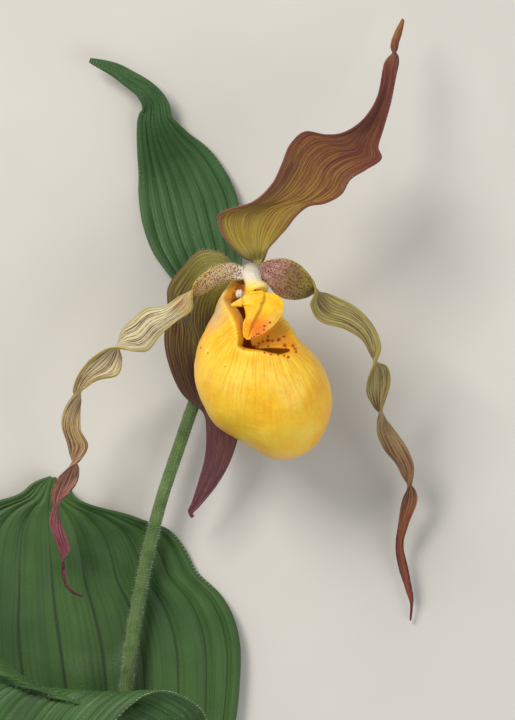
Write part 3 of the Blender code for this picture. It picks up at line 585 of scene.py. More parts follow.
def streaks(tree, across, down, many, long, start, end):
    """Uneven streaks down a blade, about so many across it and down it: 1 on a streak and 0 off it."""
    wide = add(tree, "ShaderNodeMath", {0: across, 1: many}, operation="MULTIPLY")
    high = add(tree, "ShaderNodeMath", {0: down, 1: long}, operation="MULTIPLY")
    drawn = add(tree, "ShaderNodeCombineXYZ", {"X": wide, "Y": high})
    rough = add(tree, "ShaderNodeTexNoise", {"Vector": drawn, "Scale": 1.0, "Detail": 2.0})
    return add(tree, "ShaderNodeMapRange", {"Value": rough, "From Min": start, "From Max": end})


def speckle(tree, scale, reach):
    """Round dots at random places: 1 inside a dot and 0 outside. The scale is dots to a millimetre."""
    inputs = {"Vector": millimetres(tree), "Scale": scale, "Randomness": 1.0}
    away = add(tree, "ShaderNodeTexVoronoi", inputs)
    inputs = {"Value": away, "From Min": reach * 0.6, "From Max": reach, "To Min": 1.0, "To Max": 0.0}
    return add(tree, "ShaderNodeMapRange", inputs)


def spots(tree, places):
    """Marks at chosen places seen from above, each X, Y and radius in millimetres: 1 inside, 0 outside."""
    inputs = {0: millimetres(tree), 1: (1.0, 1.0, 0.0)}
    seen = add(tree, "ShaderNodeVectorMath", inputs, operation="MULTIPLY")
    ragged = add(tree, "ShaderNodeTexNoise", {"Vector": seen, "Scale": RAGGED_WAVES, "Detail": 1.0})
    total = 0.0
    for x, y, radius in places:
        rim = RAGGED * radius
        away = add(tree, "ShaderNodeVectorMath", {0: seen, 1: (x, y, 0.0)}, "Value", operation="DISTANCE")
        rough = add(tree, "ShaderNodeMath", {0: ragged, 1: rim, 2: away}, operation="MULTIPLY_ADD")
        end = rim + SOFT_RIM * radius
        inputs = {"Value": rough, "From Min": rim, "From Max": end, "To Min": 1.0, "To Max": 0.0}
        mark = add(tree, "ShaderNodeMapRange", inputs)
        total = add(tree, "ShaderNodeMath", {0: mark, 1: total}, operation="MAXIMUM")
    return total


def near_margins(tree, across, width):
    """1 along both margins of a blade, fading over a share of its width, and 0 between."""
    away = add(tree, "ShaderNodeMath", {0: across, 1: 0.5}, operation="PINGPONG")
    inputs = {"Value": away, "From Max": width, "To Min": 1.0, "To Max": 0.0}
    return add(tree, "ShaderNodeMapRange", inputs)


def edged(tree, colour, across, down, code, width, amount, end):
    """A colour with another along both margins, which fades out before a share of the length."""
    inputs = {"Value": down, "From Min": end - 0.2, "From Max": end, "To Min": amount, "To Max": 0.0}
    fading = add(tree, "ShaderNodeMapRange", inputs)
    return laid_over(tree, colour, near_margins(tree, across, width), fading, hex_colour(code))


def dotted(tree, colour, down, code, scale, reach, start, end):
    """A colour with dots over it near the root, which fade out between two shares of the length."""
    inputs = {"Value": down, "From Min": start, "From Max": end, "To Min": 1.0, "To Max": 0.0}
    near_root = add(tree, "ShaderNodeMapRange", inputs)
    return laid_over(tree, colour, speckle(tree, scale, reach), near_root, hex_colour(code))


def finish_surface(tree, shader, colour, height=None, depth=0.0):
    """Links the colour, and a bump whose height is depth millimetres."""
    tree.links.new(colour, shader.inputs["Base Color"])
    if height is not None:
        inputs = {"Height": height, "Distance": depth * MM, "Strength": 1.0}
        tree.links.new(add(tree, "ShaderNodeBump", inputs), shader.inputs["Normal"])


def leaf_finish(name, groove, ridge, pale, count, fine, roughness):
    """Living leaf skin, waxed by nature, which gives it a soft sheen and no sharp glints.

    It is pleated along its veins, with painted shade along the grooves, paler between, and faintly streaked.
    """
    made, tree, shader = new_material(name, roughness, Specular_IOR_Level=0.35, Sheen_Weight=0.05)
    across, down = blade_places(tree)
    place = millimetres(tree)
    # The groove colour paints the real streaks and also the painted shade in the grooves.
    dark = hex_colour(groove)
    patchy = add(tree, "ShaderNodeTexNoise", {"Vector": place, "Scale": LEAF_PATCH_WAVES, "Detail": 3.0})
    green = add(tree, "ShaderNodeValToRGB", {0: patchy}, stops=[(0.35, ridge), (0.65, pale)])
    faint = streaks(tree, across, down, many=count * fine, long=2.5, start=0.46, end=0.66)
    streaked = laid_over(tree, green, faint, 0.35, dark)
    # Painted shade in the grooves: the dark groove colour along each vein line, strong for most of the
    # length and weaker near the tip.
    inputs = {"Value": down, "From Min": 0.8, "From Max": 0.95, "To Min": 0.85, "To Max": 0.2}
    groove_shade_amount = add(tree, "ShaderNodeMapRange", inputs)
    veins = lines_across(tree, across, count, wobble=0.0, width=0.26)
    groove_shaded = laid_over(tree, streaked, veins, groove_shade_amount, dark)
    rimmed = laid_over(tree, groove_shaded, near_margins(tree, across, width=0.012), 0.6, hex_colour(pale))
    grain = add(tree, "ShaderNodeTexNoise", {"Vector": place, "Scale": LEAF_GRAIN_WAVES, "Detail": 4.0})
    height = add(tree, "ShaderNodeMath", {0: faint, 1: -0.8, 2: grain}, operation="MULTIPLY_ADD")
    finish_surface(tree, shader, rimmed, height, depth=0.10)
    return made


def striped_finish(name, ground, stripe, amount, lines, dashes, margin, dots=None):
    """Thin flower skin, soft and a little downy, so it shines faintly and only at a low angle.

    Broken stripes run down it. Ground, stripe and amount are colours down its length.
    """
    made, tree, shader = new_material(name, 0.48, Specular_IOR_Level=0.38, Sheen_Weight=0.12)
    across, down = blade_places(tree)
    place = millimetres(tree)
    mottle = add(tree, "ShaderNodeTexNoise", {"Vector": place, "Scale": MOTTLE_WAVES, "Detail": 5.0})
    shift = add(tree, "ShaderNodeMapRange", {"Value": mottle, "To Min": -0.07, "To Max": 0.07})
    shifted = add(tree, "ShaderNodeMath", {0: shift, 1: down}, operation="ADD")
    under = add(tree, "ShaderNodeValToRGB", {0: shifted}, stops=ground)
    over = add(tree, "ShaderNodeValToRGB", {0: shifted}, stops=stripe)
    strength = add(tree, "ShaderNodeValToRGB", {0: down}, stops=amount)
    patchy = add(tree, "ShaderNodeTexNoise", {"Vector": place, "Scale": BREAK_WAVES, "Detail": 4.0})
    inputs = {"Value": patchy, "From Min": 0.36, "From Max": 0.5, "To Min": 0.4}
    broken = add(tree, "ShaderNodeMapRange", inputs)
    veins = lines_across(tree, across, lines, wobble=0.006, width=0.46)
    veins = add(tree, "ShaderNodeMath", {0: veins, 1: broken}, operation="MULTIPLY")
    short = streaks(tree, across, down, **dashes)
    marks = add(tree, "ShaderNodeMath", {0: veins, 1: short}, operation="MAXIMUM")
    colour = edged(tree, laid_over(tree, under, marks, strength, over), across, down, **margin)
    if dots:
        colour = dotted(tree, colour, down, **dots)
    grain = add(tree, "ShaderNodeTexNoise", {"Vector": place, "Scale": PETAL_GRAIN_WAVES, "Detail": 3.0})
    height = add(tree, "ShaderNodeMath", {0: marks, 1: -0.6, 2: grain}, operation="MULTIPLY_ADD")
    finish_surface(tree, shader, colour, height, depth=0.12)
    return made


def lip_veins(tree, turn, down):
    """Fine veins that run down from the pouch's rim and fade."""
    half_turn = add(tree, "ShaderNodeMath", {0: turn, 1: 0.5}, operation="PINGPONG")
    lined = streaks(tree, half_turn, down, many=130, long=6.0, start=0.46, end=0.64)
    inputs = {"Value": down, "From Min": 0.02, "From Max": 0.45, "To Min": 0.6, "To Max": 0.04}
    fading = add(tree, "ShaderNodeMapRange", inputs)
    return add(tree, "ShaderNodeMath", {0: lined, 1: fading}, operation="MULTIPLY")


def lip_yellow(tree, place, veins, speck, low):
    """The pouch's yellow in patches and flecks, with its veins, and with painted shade low down: dark
    patches and a warmer tone.
    """
    inputs = {"Vector": place, "Scale": LIP_PATCH_WAVES, "Detail": 5.0, "Roughness": 0.6}
    patches = add(tree, "ShaderNodeTexNoise", inputs)
    yellows = [(0.30, "#F9B414"), (0.5, "#FFCA26"), (0.70, "#FFDC55")]
    yellow = add(tree, "ShaderNodeValToRGB", {0: patches}, stops=yellows)
    veined = laid_over(tree, yellow, veins, 1.0, hex_colour("#EE9204"))
    fleck = add(tree, "ShaderNodeMapRange", {"Value": speck, "From Min": 0.55, "From Max": 0.7})
    flecked = laid_over(tree, veined, fleck, 0.3, hex_colour("#FFE58A"))
    # Painted shade low down: dark amber in noise patches, then warmer amber over the whole low part.
    shade_patches = add(tree, "ShaderNodeTexNoise", {"Vector": place, "Scale": LIP_SHADE_PATCH_WAVES, "Detail": 4.0})
    inputs = {"Value": shade_patches, "From Min": 0.56, "From Max": 0.72, "To Max": 0.4}
    patchy_shade = add(tree, "ShaderNodeMapRange", inputs)
    patchily_shaded = laid_over(tree, flecked, patchy_shade, low, hex_colour("#C9860C"))
    return laid_over(tree, patchily_shaded, low, 0.35, hex_colour("#F2A008"))


def lip_mouth(tree, colour, place, inside):
    """The pouch's colour with painted amber glow on its folded-in rim, its cream shoulder, and painted brown
    shade in the hollow by the column.
    """
    # Painted amber glow on the folded-in rim.
    glow_painted_on_rim = laid_over(tree, colour, inside, 0.7, hex_colour("#E8980A"))
    away = add(tree, "ShaderNodeVectorMath", {0: place, 1: LIP_SHOULDER}, "Value", operation="DISTANCE")
    inputs = {"Value": away, "From Min": 2.5, "From Max": 8.5, "To Min": 0.85, "To Max": 0.0}
    cream = add(tree, "ShaderNodeMapRange", inputs)
    kept = add(tree, "ShaderNodeMapRange", {"Value": inside, "To Min": 1.0, "To Max": 0.25})
    paled = laid_over(tree, glow_painted_on_rim, cream, kept, hex_colour("#DDBE8C"))
    # Painted shade in the hollow beside the column.
    hollow = add(tree, "ShaderNodeMath", {0: spots(tree, LIP_HOLLOW_SHADE), 1: inside}, operation="MULTIPLY")
    return laid_over(tree, paled, hollow, 0.9, hex_colour("#94520E"))


def lip_finish():
    """The pouch's satin skin: smooth, so it has broad soft lights, and thin, so it glows a little."""
    made, tree, shader = new_material(
        "satin_petal_skin_lip_yellow", 0.36, Specular_IOR_Level=0.45, Subsurface_Weight=0.15,
        Subsurface_Radius=(1.0, 0.5, 0.08), Subsurface_Scale=0.002, Coat_Weight=0.06, Coat_Roughness=0.4,
    )
    place = millimetres(tree)
    turn, down = blade_places(tree)
    height = add(tree, "ShaderNodeSeparateXYZ", {"Vector": place}, "Z")
    # low is the share of painted shade: 1 under the first height, falling to 0 at the second.
    low_start, low_end = LIP_SHADE
    inputs = {"Value": height, "From Min": low_start, "From Max": low_end, "To Min": 1.0, "To Max": 0.0}
    low = add(tree, "ShaderNodeMapRange", inputs)
    inside = add(tree, "ShaderNodeMapRange", {"Value": down, "From Min": -0.002, "From Max": -0.03})
    veins = lip_veins(tree, turn, down)
    speck = add(tree, "ShaderNodeTexNoise", {"Vector": place, "Scale": LIP_FLECK_WAVES, "Detail": 4.0})
    colour = lip_mouth(tree, lip_yellow(tree, place, veins, speck, low), place, inside)
    mark_start, mark_end = LIP_MARK_HEIGHTS
    inputs = {"Value": height, "From Min": mark_start, "From Max": mark_end, "To Max": 0.9}
    above = add(tree, "ShaderNodeMapRange", inputs)
    marked = laid_over(tree, colour, spots(tree, LIP_MARKS), above, hex_colour("#A81400"))
    relief = add(tree, "ShaderNodeMath", {0: veins, 1: -1.2, 2: speck}, operation="MULTIPLY_ADD")
    finish_surface(tree, shader, marked, relief, depth=0.09)
    return made


def staminode_finish():
    """Waxy shield that shines softly: yellow, with painted orange glow where it hollows, and red marks along
    its edge.
    """
    made, tree, shader = new_material(
        "waxy_petal_skin_staminode", 0.38, Specular_IOR_Level=0.45, Subsurface_Weight=0.1,
        Subsurface_Radius=(1.0, 0.45, 0.08), Subsurface_Scale=0.0012,
    )
    place = millimetres(tree)
    patches = add(tree, "ShaderNodeTexNoise", {"Vector": place, "Scale": SHIELD_PATCH_WAVES, "Detail": 4.0})
    yellow = add(tree, "ShaderNodeValToRGB", {0: patches}, stops=[(0.35, "#F3B414"), (0.65, "#FFCE2C")])
    # Painted orange glow round STAMINODE_GLOW, strongest near it and gone 4.6 mm away.
    away = add(tree, "ShaderNodeVectorMath", {0: place, 1: STAMINODE_GLOW}, "Value", operation="DISTANCE")
    inputs = {"Value": away, "From Min": 0.8, "From Max": 4.6, "To Min": 0.95, "To Max": 0.0}
    orange = add(tree, "ShaderNodeMapRange", inputs)
    glow_painted_shield = laid_over(tree, yellow, orange, 1.0, hex_colour("#F26E00"))
    marked = laid_over(tree, glow_painted_shield, spots(tree, STAMINODE_MARKS), 1.0, hex_colour("#A00C00"))
    dark = laid_over(tree, marked, spots(tree, STAMINODE_POINTS), 1.0, hex_colour("#2A120A"))
    grain = add(tree, "ShaderNodeTexNoise", {"Vector": place, "Scale": SHIELD_GRAIN_WAVES, "Detail": 3.0})
    finish_surface(tree, shader, dark, grain, depth=0.05)
    return made


def column_finish():
    """Waxy white tissue, full of water, which looks soft and milky, and turns yellow towards the shield."""
    made, tree, shader = new_material(
        "waxy_column_tissue", 0.42, Subsurface_Weight=0.12, Subsurface_Radius=(1.0, 0.7, 0.5),
        Subsurface_Scale=0.0012,
    )
    place = millimetres(tree)
    along = add(tree, "ShaderNodeSeparateXYZ", {"Vector": place}, "Y")
    uneven = add(tree, "ShaderNodeTexNoise", {"Vector": place, "Scale": COLUMN_PATCH_WAVES, "Detail": 3.0})
    along = add(tree, "ShaderNodeMath", {0: uneven, 1: 2.2, 2: along}, operation="MULTIPLY_ADD")
    white_end, yellow_start = COLUMN_YELLOW
    inputs = {"Value": along, "From Min": white_end, "From Max": yellow_start}
    share = add(tree, "ShaderNodeMapRange", inputs)
    tints = [(0.0, "#A8A084"), (0.16, "#C9C2B4"), (0.4, "#E6DED4"), (0.62, "#F0DFA0"), (0.85, "#F8CB2A")]
    tint = add(tree, "ShaderNodeValToRGB", {0: share}, stops=tints)
    # Painted shade of the slit in the column.
    marked = laid_over(tree, tint, spots(tree, COLUMN_SLIT_SHADE), 1.0, hex_colour("#4A2A12"))
    grain = add(tree, "ShaderNodeTexNoise", {"Vector": place, "Scale": COLUMN_GRAIN_WAVES, "Detail": 4.0})
    finish_surface(tree, shader, marked, grain, depth=0.12)
    return made


def pollen_finish():
    """Sticky pale pollen, with the soft shine of wet wax."""
    made, tree, shader = new_material("sticky_pollen_mass", 0.4, Subsurface_Weight=0.1)
    inputs = {"Vector": millimetres(tree), "Scale": POLLEN_WAVES, "Detail": 3.0}
    grains = add(tree, "ShaderNodeTexNoise", inputs)
    pale = add(tree, "ShaderNodeValToRGB", {0: grains}, stops=[(0.3, "#C9C0B0"), (0.7, "#F0ECE2")])
    finish_surface(tree, shader, pale, grains, depth=0.1)
    return made


def stem_finish():
    """Green stem skin with fine ribs, whose down spreads the light and pales its edges."""
    made, tree, shader = new_material("downy_stem_skin", 0.55, Specular_IOR_Level=0.35, Sheen_Weight=0.3)
    around = blade_places(tree)[0]
    ribs = lines_across(tree, around, 14, wobble=0.01, width=0.8)
    inputs = {"Vector": millimetres(tree), "Scale": STEM_PATCH_WAVES, "Detail": 4.0}
    patchy = add(tree, "ShaderNodeTexNoise", inputs)
    green = add(tree, "ShaderNodeValToRGB", {0: patchy}, stops=[(0.3, "#3E5C26"), (0.7, "#5F7C3E")])
    ribbed = laid_over(tree, green, ribs, 0.3, hex_colour("#324C1E"))
    finish_surface(tree, shader, ribbed, ribs, depth=-0.08)
    return made


def hair_finish():
    """Short white plant hair, thin enough to glow at its edges."""
    made, tree, shader = new_material("white_plant_hair", 0.6, Sheen_Weight=0.4, Subsurface_Weight=0.3)
    tint = add(tree, "ShaderNodeTexNoise", {"Vector": millimetres(tree), "Scale": HAIR_TINT_WAVES})
    white = add(tree, "ShaderNodeValToRGB", {0: tint}, stops=[(0.3, "#D8DCC8"), (0.7, "#F4F4EA")])
    finish_surface(tree, shader, white)
    return made


def floor_finish():
    """Matt painted board, pale and even but for a faint mottle, with no reflections."""
    made, tree, shader = new_material("matt_painted_board", 0.75, Specular_IOR_Level=0.3)
    inputs = {"Vector": millimetres(tree), "Scale": FLOOR_MOTTLE_WAVES, "Detail": 3.0}
    mottle = add(tree, "ShaderNodeTexNoise", inputs)
    pale = add(tree, "ShaderNodeValToRGB", {0: mottle}, stops=[(0.3, "#C9C8C4"), (0.7, "#D0CFCB")])
    finish_surface(tree, shader, pale)
    return made


def piece_from(name, bm, made_of, node=None):
    """Puts a mesh made in millimetres from the heart into its place, and hides the solid that it stands for,
    if one is given.
    """
    mesh = bpy.data.meshes.new(name)
    bmesh.ops.scale(bm, vec=(MM, MM, MM), verts=bm.verts)
    bmesh.ops.translate(bm, vec=(HEART_PLACE[0] * MM, HEART_PLACE[1] * MM, 0.0), verts=bm.verts)
    bm.to_mesh(mesh)
    bm.free()
    mesh.materials.append(made_of)
    mesh.shade_smooth()
    obj = bpy.data.objects.new(name, mesh)
    bpy.context.scene.collection.objects.link(obj)
    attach(obj, "root")
    if node:
        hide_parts(node)
    return obj


def thicken(obj, thickness):
    """Gives a sheet its thickness, half of it to each side."""
    solid = obj.modifiers.new("thickness", "SOLIDIFY")
    solid.thickness = thickness * MM
    solid.offset = 0.0


def lengths_down(frames):
    """How far down a blade each of its rows is, as a share of its length."""
    reached = [0.0]
    for start, end in zip(frames, frames[1:]):
        reached.append(reached[-1] + (end[0] - start[0]).length)
    return [length / reached[-1] for length in reached]


def pressed_flat(point, rest):
    """The height of a point of a leaf that rests on the table within a round area: its X, Y and radius."""
    away = math.dist(point.xy, rest[:2]) / rest[2]
    pressed = 1 - min(max((away - (1 - SOFT_EDGE / 2)) / SOFT_EDGE, 0.0), 1.0)
    height = max(point.z, LEAF_BED)
    return height + (LEAF_BED - height) * pressed


def write_map(bm, on_map):
    """Gives each corner its place on the UV map, which goes on past 1 where a round piece closes."""
    layer = bm.loops.layers.uv.new("blade")
    for face in bm.faces:
        around = [on_map[loop.vert][0] for loop in face.loops]
        closes = max(around) - min(around) > 0.5
        for loop in face.loops:
            across, down = on_map[loop.vert]
            loop[layer].uv = (across + 1 if closes and across < 0.5 else across, down)


def fine_blade(name, rows, along, across, thickness, made_of, lift, spread=0.0, rest=None):
    """The finer form of a leaf, sepal or petal, with a UV map of how far across and down it a point is."""
    bm = bmesh.new()
    bmesh.ops.create_grid(bm, x_segments=across, y_segments=along, size=1.0)
    frames = blade_frames(rows, along)
    shares = lengths_down(frames)
    spread = math.radians(spread)
    on_map = {}
    for vert in bm.verts:
        v, t = vert.co.x, (vert.co.y + 1) / 2
        k = round(t * along)
        u = math.sin(spread * v) / math.sin(spread) if spread else v
        vert.co = across_blade(frames[k], u, lift(v, t))
        if rest:
            vert.co.z = pressed_flat(vert.co, rest)
        on_map[vert] = ((v + 1) / 2, shares[k])
    write_map(bm, on_map)
    bmesh.ops.recalc_face_normals(bm, faces=bm.faces)
    thicken(piece_from(name, bm, made_of, name_of_node(name)), thickness)
    return frames


def name_of_node(name):
    """The solid that a piece stands for: its name without the word that ends it."""
    return name.rsplit("_", 1)[0]


def fine_tube(name, rows, along, sides, made_of, ribs=0, rib_height=0.0):
    """The finer form of the stem, ovary or column."""
    bm = bmesh.new()
    bmesh.ops.create_grid(bm, x_segments=sides, y_segments=along, size=1.0)
    frames = tube_frames(rows, along)
    swell, often = TUBE_SWELL
    on_map = {}
    for vert in bm.verts:
        angle, k = math.pi * (vert.co.x + 1), round((vert.co.y + 1) / 2 * along)
        middle, side, normal, radius = frames[k]
        on_map[vert] = ((vert.co.x + 1) / 2, k / along)
        radius *= 1 + rib_height * math.cos(ribs * angle)
        radius += swell * noise.noise(middle * often + side * angle)
        vert.co = middle + (side * math.cos(angle) + normal * math.sin(angle)) * radius
    write_map(bm, on_map)
    bmesh.ops.remove_doubles(bm, verts=bm.verts, dist=0.001)
    bmesh.ops.holes_fill(bm, edges=bm.edges)
    bmesh.ops.recalc_face_normals(bm, faces=bm.faces)
    piece_from(name, bm, made_of, name_of_node(name))
    return frames


def fold_mouth_in(bm, on_map):
    """Folds the rim of the mouth in: a broad wall at its right, a panel at its left and a roll in front."""
    rim = [edge for edge in bm.edges if edge.is_boundary]
    way = mouth_axes()[0]
    paths = {}
    for vert in {v for edge in rim for v in edge.verts}:
        turn = on_map[vert][0] * 360
        inner = [smooth_round([(row[0], row[axis]) for row in LIP_FOLD], turn) for axis in (1, 2, 3)]
        paths[vert] = (turn, vert.co.copy(), Vector(inner))
    for k in range(1, FOLD_STEPS + 1):
        share = k / FOLD_STEPS
        turned = bmesh.ops.extrude_edge_only(bm, edges=rim)["geom"]
        rim = [g for g in turned if isinstance(g, bmesh.types.BMEdge)]
        fresh = {}
        for vert in (g for g in turned if isinstance(g, bmesh.types.BMVert)):
            near = (edge.other_vert(vert) for edge in vert.link_edges)
            turn, start, inner = next(paths[other] for other in near if other in paths)
            crest = start.lerp(inner, CREST_PLACE) + way * FOLD_CREST
            vert.co = start * (1 - share) ** 2 + crest * 2 * share * (1 - share) + inner * share**2
            fresh[vert] = (turn, start, inner)
            on_map[vert] = (turn / 360, -FOLD_ON_MAP * share)
        paths = fresh


def lip_relief(point, turn, share):
    """How far the pouch's skin stands out at a point: slow swells, and furrows near the rim at one side."""
    drift, often = FURROW_DRIFT
    band, band_width = FURROW_BAND
    swell = sum(height * noise.noise(point * waves) for height, waves in LIP_SWELLS)
    wave = math.sin(math.radians(turn) * FURROWS + drift * noise.noise(point * often))
    furrow = FURROW_DEPTH * math.exp(-(((share - band) / band_width) ** 2)) * wave
    one_side = max(0.0, math.cos(math.radians(turn - FURROW_SIDE))) ** 2
    return swell + furrow * one_side


def fine_lip(made_of):
    """The pouch, slightly uneven, furrowed near the mouth, with an ear beside the column."""
    bm = bmesh.new()
    bmesh.ops.create_uvsphere(bm, u_segments=LIP_SIDES, v_segments=LIP_RINGS, radius=1.0)
    top = max(bm.verts, key=lambda v: v.co.z)
    bmesh.ops.delete(bm, geom=[top], context="VERTS")
    first_polar = 180.0 / LIP_RINGS
    on_map = {}
    for vert in bm.verts:
        turn = math.degrees(math.atan2(vert.co.y, vert.co.x)) % 360
        polar = math.degrees(math.acos(max(-1.0, min(1.0, vert.co.z))))
        edge = smooth_round(MOUTH_ANGLES, turn)
        share = (polar - first_polar) / (180 - first_polar)
        point = on_lip(edge + share * (180 - edge), turn)
        out = (point - Vector(LIP_MIDDLE)).normalized()
        vert.co = point + out * lip_relief(point, turn, share)
        for place, width, pull in RIM_PULLS:
            vert.co += Vector(pull) * math.exp(-(((turn - place) / width) ** 2) - (share / PULL_DEPTH) ** 2)
        on_map[vert] = (turn / 360, share)
    fold_mouth_in(bm, on_map)
    write_map(bm, on_map)
    bmesh.ops.recalc_face_normals(bm, faces=bm.faces)
    thicken(piece_from("lip_skin", bm, made_of, "lip"), LIP_THICKNESS)


def fine_anther(name, place, made_of):
    """A small pale pollen mass with a furrow down its middle."""
    depth, width = ANTHER_FURROW
    height, often = ANTHER_BUMPS
    bm = bmesh.new()
    bmesh.ops.create_icosphere(bm, subdivisions=5, radius=1.0)
    for vert in bm.verts:
        furrow = depth * math.exp(-((vert.co.x / width) ** 2))
        vert.co *= 1 - furrow + height * noise.noise(vert.co * often)
    bmesh.ops.scale(bm, vec=Vector(ANTHER_RADII), verts=bm.verts)
    bmesh.ops.translate(bm, vec=Vector(place), verts=bm.verts)
    piece_from(name, bm, made_of, name_of_node(name))


def add_hair(bm, draw, place, way, length, thickness):
    """One hair, a three-sided cone, whose length and lean are drawn at random."""
    long = length * draw.uniform(*HAIR_LENGTHS)
    astray = Vector([draw.uniform(-HAIR_ASTRAY, HAIR_ASTRAY) for _ in range(3)])
    aim = (way + astray).normalized()
    turned = aim.to_track_quat("Z", "Y").to_matrix().to_4x4()
    bmesh.ops.create_cone(
        bm, cap_ends=True, segments=3, radius1=thickness / 2, radius2=thickness / 2 * HAIR_TIP,
        depth=long, matrix=Matrix.Translation(place + aim * (long / 2 - HAIR_ROOT)) @ turned,
    )


def hairs(name, roots, length, thickness, made_of):
    """Tapered hairs in one mesh. A root is a place and the way its hair stands."""
    draw = random.Random(name)
    whole = bmesh.new()
    for start in range(0, len(roots), HAIR_BATCH):
        batch = bmesh.new()
        for place, way in roots[start:start + HAIR_BATCH]:
            add_hair(batch, draw, place, way, length, thickness)
        tuft = bpy.data.meshes.new("tuft")
        batch.to_mesh(tuft)
        batch.free()
        whole.from_mesh(tuft)
        bpy.data.meshes.remove(tuft)
    piece_from(name, whole, made_of)


def round_roots(frames, count, seed):
    """Roots of hairs spread over a tube, with the way out of it."""
    draw = random.Random(seed)
    roots = []
    for _ in range(count):
        middle, side, normal, radius = frames[draw.randrange(1, len(frames) - 1)]
        angle = draw.uniform(0, 2 * math.pi)
        out = side * math.cos(angle) + normal * math.sin(angle)
        roots.append((middle + out * radius, out))
    return roots


def margin_roots(frames, count, seed, start=0.02, end=0.98):
    """Roots of hairs along a blade's margins, pointing away from it."""
    draw = random.Random(seed)
    roots = []
    for _ in range(count):
        place = frames[int(draw.uniform(start, end) * (len(frames) - 1))]
        edge = draw.choice((-1, 1))
        point = across_blade(place, edge, 0.0)
        out = (point - across_blade(place, edge * 0.9, 0.0)).normalized()
        roots.append((point, out + place[2] * draw.uniform(-MARGIN_LEAN, MARGIN_LEAN)))
    return roots


def face_roots(frames, lift, count, seed, thickness):
    """Roots of hairs over a blade's two faces, but for those where it lies near the table."""
    draw = random.Random(seed)
    roots = []
    for _ in range(count):
        k = draw.randrange(1, len(frames) - 1)
        v = draw.uniform(-0.97, 0.97)
        face = draw.choice((-1, 1))
        base = lift(v, k / (len(frames) - 1))
        point = across_blade(frames[k], v, base + face * thickness / 2)
        beyond = across_blade(frames[k], v, base + face * (thickness / 2 + 1))
        roots.append((point, (beyond - point).normalized()))
    return [(point, way) for point, way in roots if point.z > 1.0]


def build_lower_leaf(hair):
    """The broad leaf behind the pouch, pleated along its veins."""
    skin = leaf_finish(
        "pleated_leaf_skin_broad", groove="#1B3214", ridge="#2E5024", pale="#41632E",
        count=LOWER_LEAF_PLEATS, fine=8, roughness=0.48,
    )
    pleated = pleats(LOWER_LEAF_PLEATS, height=0.8, wave=1.2, waves=2.4)
    lift = with_ribs(pleated, LOWER_LEAF_PLEATS * FINE_RIBS, height=0.03, waver=0.5)
    frames = fine_blade(
        "lower_leaf_blade", LOWER_LEAF, along=130, across=20 * LOWER_LEAF_PLEATS, thickness=LEAF_THICKNESS,
        made_of=skin, lift=lift, spread=LOWER_LEAF_SPREAD, rest=LEAF_REST,
    )
    roots = margin_roots(frames, count=900, seed=11, start=0.2, end=0.98)
    hairs("lower_leaf_margin_hairs", roots, length=0.6, thickness=0.07, made_of=hair)


def build_upper_leaf(hair):
    """The narrow leaf that arches over the stem, with hairs on both faces."""
    skin = leaf_finish(
        "pleated_leaf_skin_arching", groove="#182E10", ridge="#2B4C1E", pale="#3F6830",
        count=UPPER_LEAF_PLEATS * FINE_RIBS, fine=5, roughness=0.48,
    )
    pleated = pleats(UPPER_LEAF_PLEATS, height=-0.5, wave=0.8, waves=2.0)
    lift = with_ribs(pleated, UPPER_LEAF_PLEATS * FINE_RIBS, height=-0.16, waver=0.5)
    frames = fine_blade(
        "upper_leaf_blade", UPPER_LEAF, along=150, across=18 * UPPER_LEAF_PLEATS, thickness=LEAF_THICKNESS,
        made_of=skin, lift=lift,
    )
    roots = margin_roots(frames, count=1200, seed=12, start=0.1, end=0.98)
    roots += face_roots(frames, lift, count=3600, seed=13, thickness=LEAF_THICKNESS)
    hairs("upper_leaf_hairs", roots, length=0.7, thickness=0.07, made_of=hair)


def build_bract(hair):
    """The leafy bract behind the flower."""
    skin = leaf_finish(
        "pleated_leaf_skin_bract", groove="#152C14", ridge="#294F22", pale="#41683A", count=BRACT_PLEATS,
        fine=8, roughness=0.52,
    )
    pleated = pleats(BRACT_PLEATS, height=0.5, wave=0.6, waves=1.5)
    lift = with_ribs(pleated, BRACT_PLEATS * FINE_RIBS, height=0.04, waver=0.4)
    frames = fine_blade(
        "bract_blade", BRACT, along=110, across=18 * BRACT_PLEATS, thickness=LEAF_THICKNESS, made_of=skin,
        lift=lift,
    )
    roots = margin_roots(frames, count=900, seed=14)
    roots += face_roots(frames, lift, count=2200, seed=15, thickness=LEAF_THICKNESS)
    hairs("bract_hairs", roots, length=0.5, thickness=0.06, made_of=hair)


def build_dorsal_sepal(hair):
    """The upper sepal: brown stripes over olive and ochre, with waved margins."""
    skin = striped_finish(
        "thin_sepal_skin_upper",
        ground=[
            (0.0, "#9A9A58"), (0.08, "#A59030"), (0.28, "#94701E"), (0.5, "#7E4E20"), (0.8, "#743824"),
            (0.93, "#86501F"), (1.0, "#A8722A"),
        ],
        stripe=[(0.0, "#5B5020"), (0.15, "#5A2416"), (0.5, "#521622"), (1.0, "#4A1420")],
        amount=[(0.0, "#505050"), (0.15, "#C0C0C0"), (0.4, "#FFFFFF"), (1.0, "#D0D0D0")],
        lines=21,
        dashes={"many": 80, "long": 5, "start": 0.48, "end": 0.58},
        margin={"code": "#6E2A2A", "width": 0.08, "amount": 0.75, "end": 1.2},
    )
    lift = with_ribs(ripple(height=0.9, waves=3.2), 19, height=-0.08, waver=0.4)
    frames = fine_blade(
        "dorsal_sepal_blade", DORSAL_SEPAL, along=160, across=90, thickness=PETAL_THICKNESS, made_of=skin,
        lift=lift,
    )
    roots = margin_roots(frames, count=700, seed=21)
    hairs("dorsal_sepal_hairs", roots, length=0.4, thickness=0.05, made_of=hair)


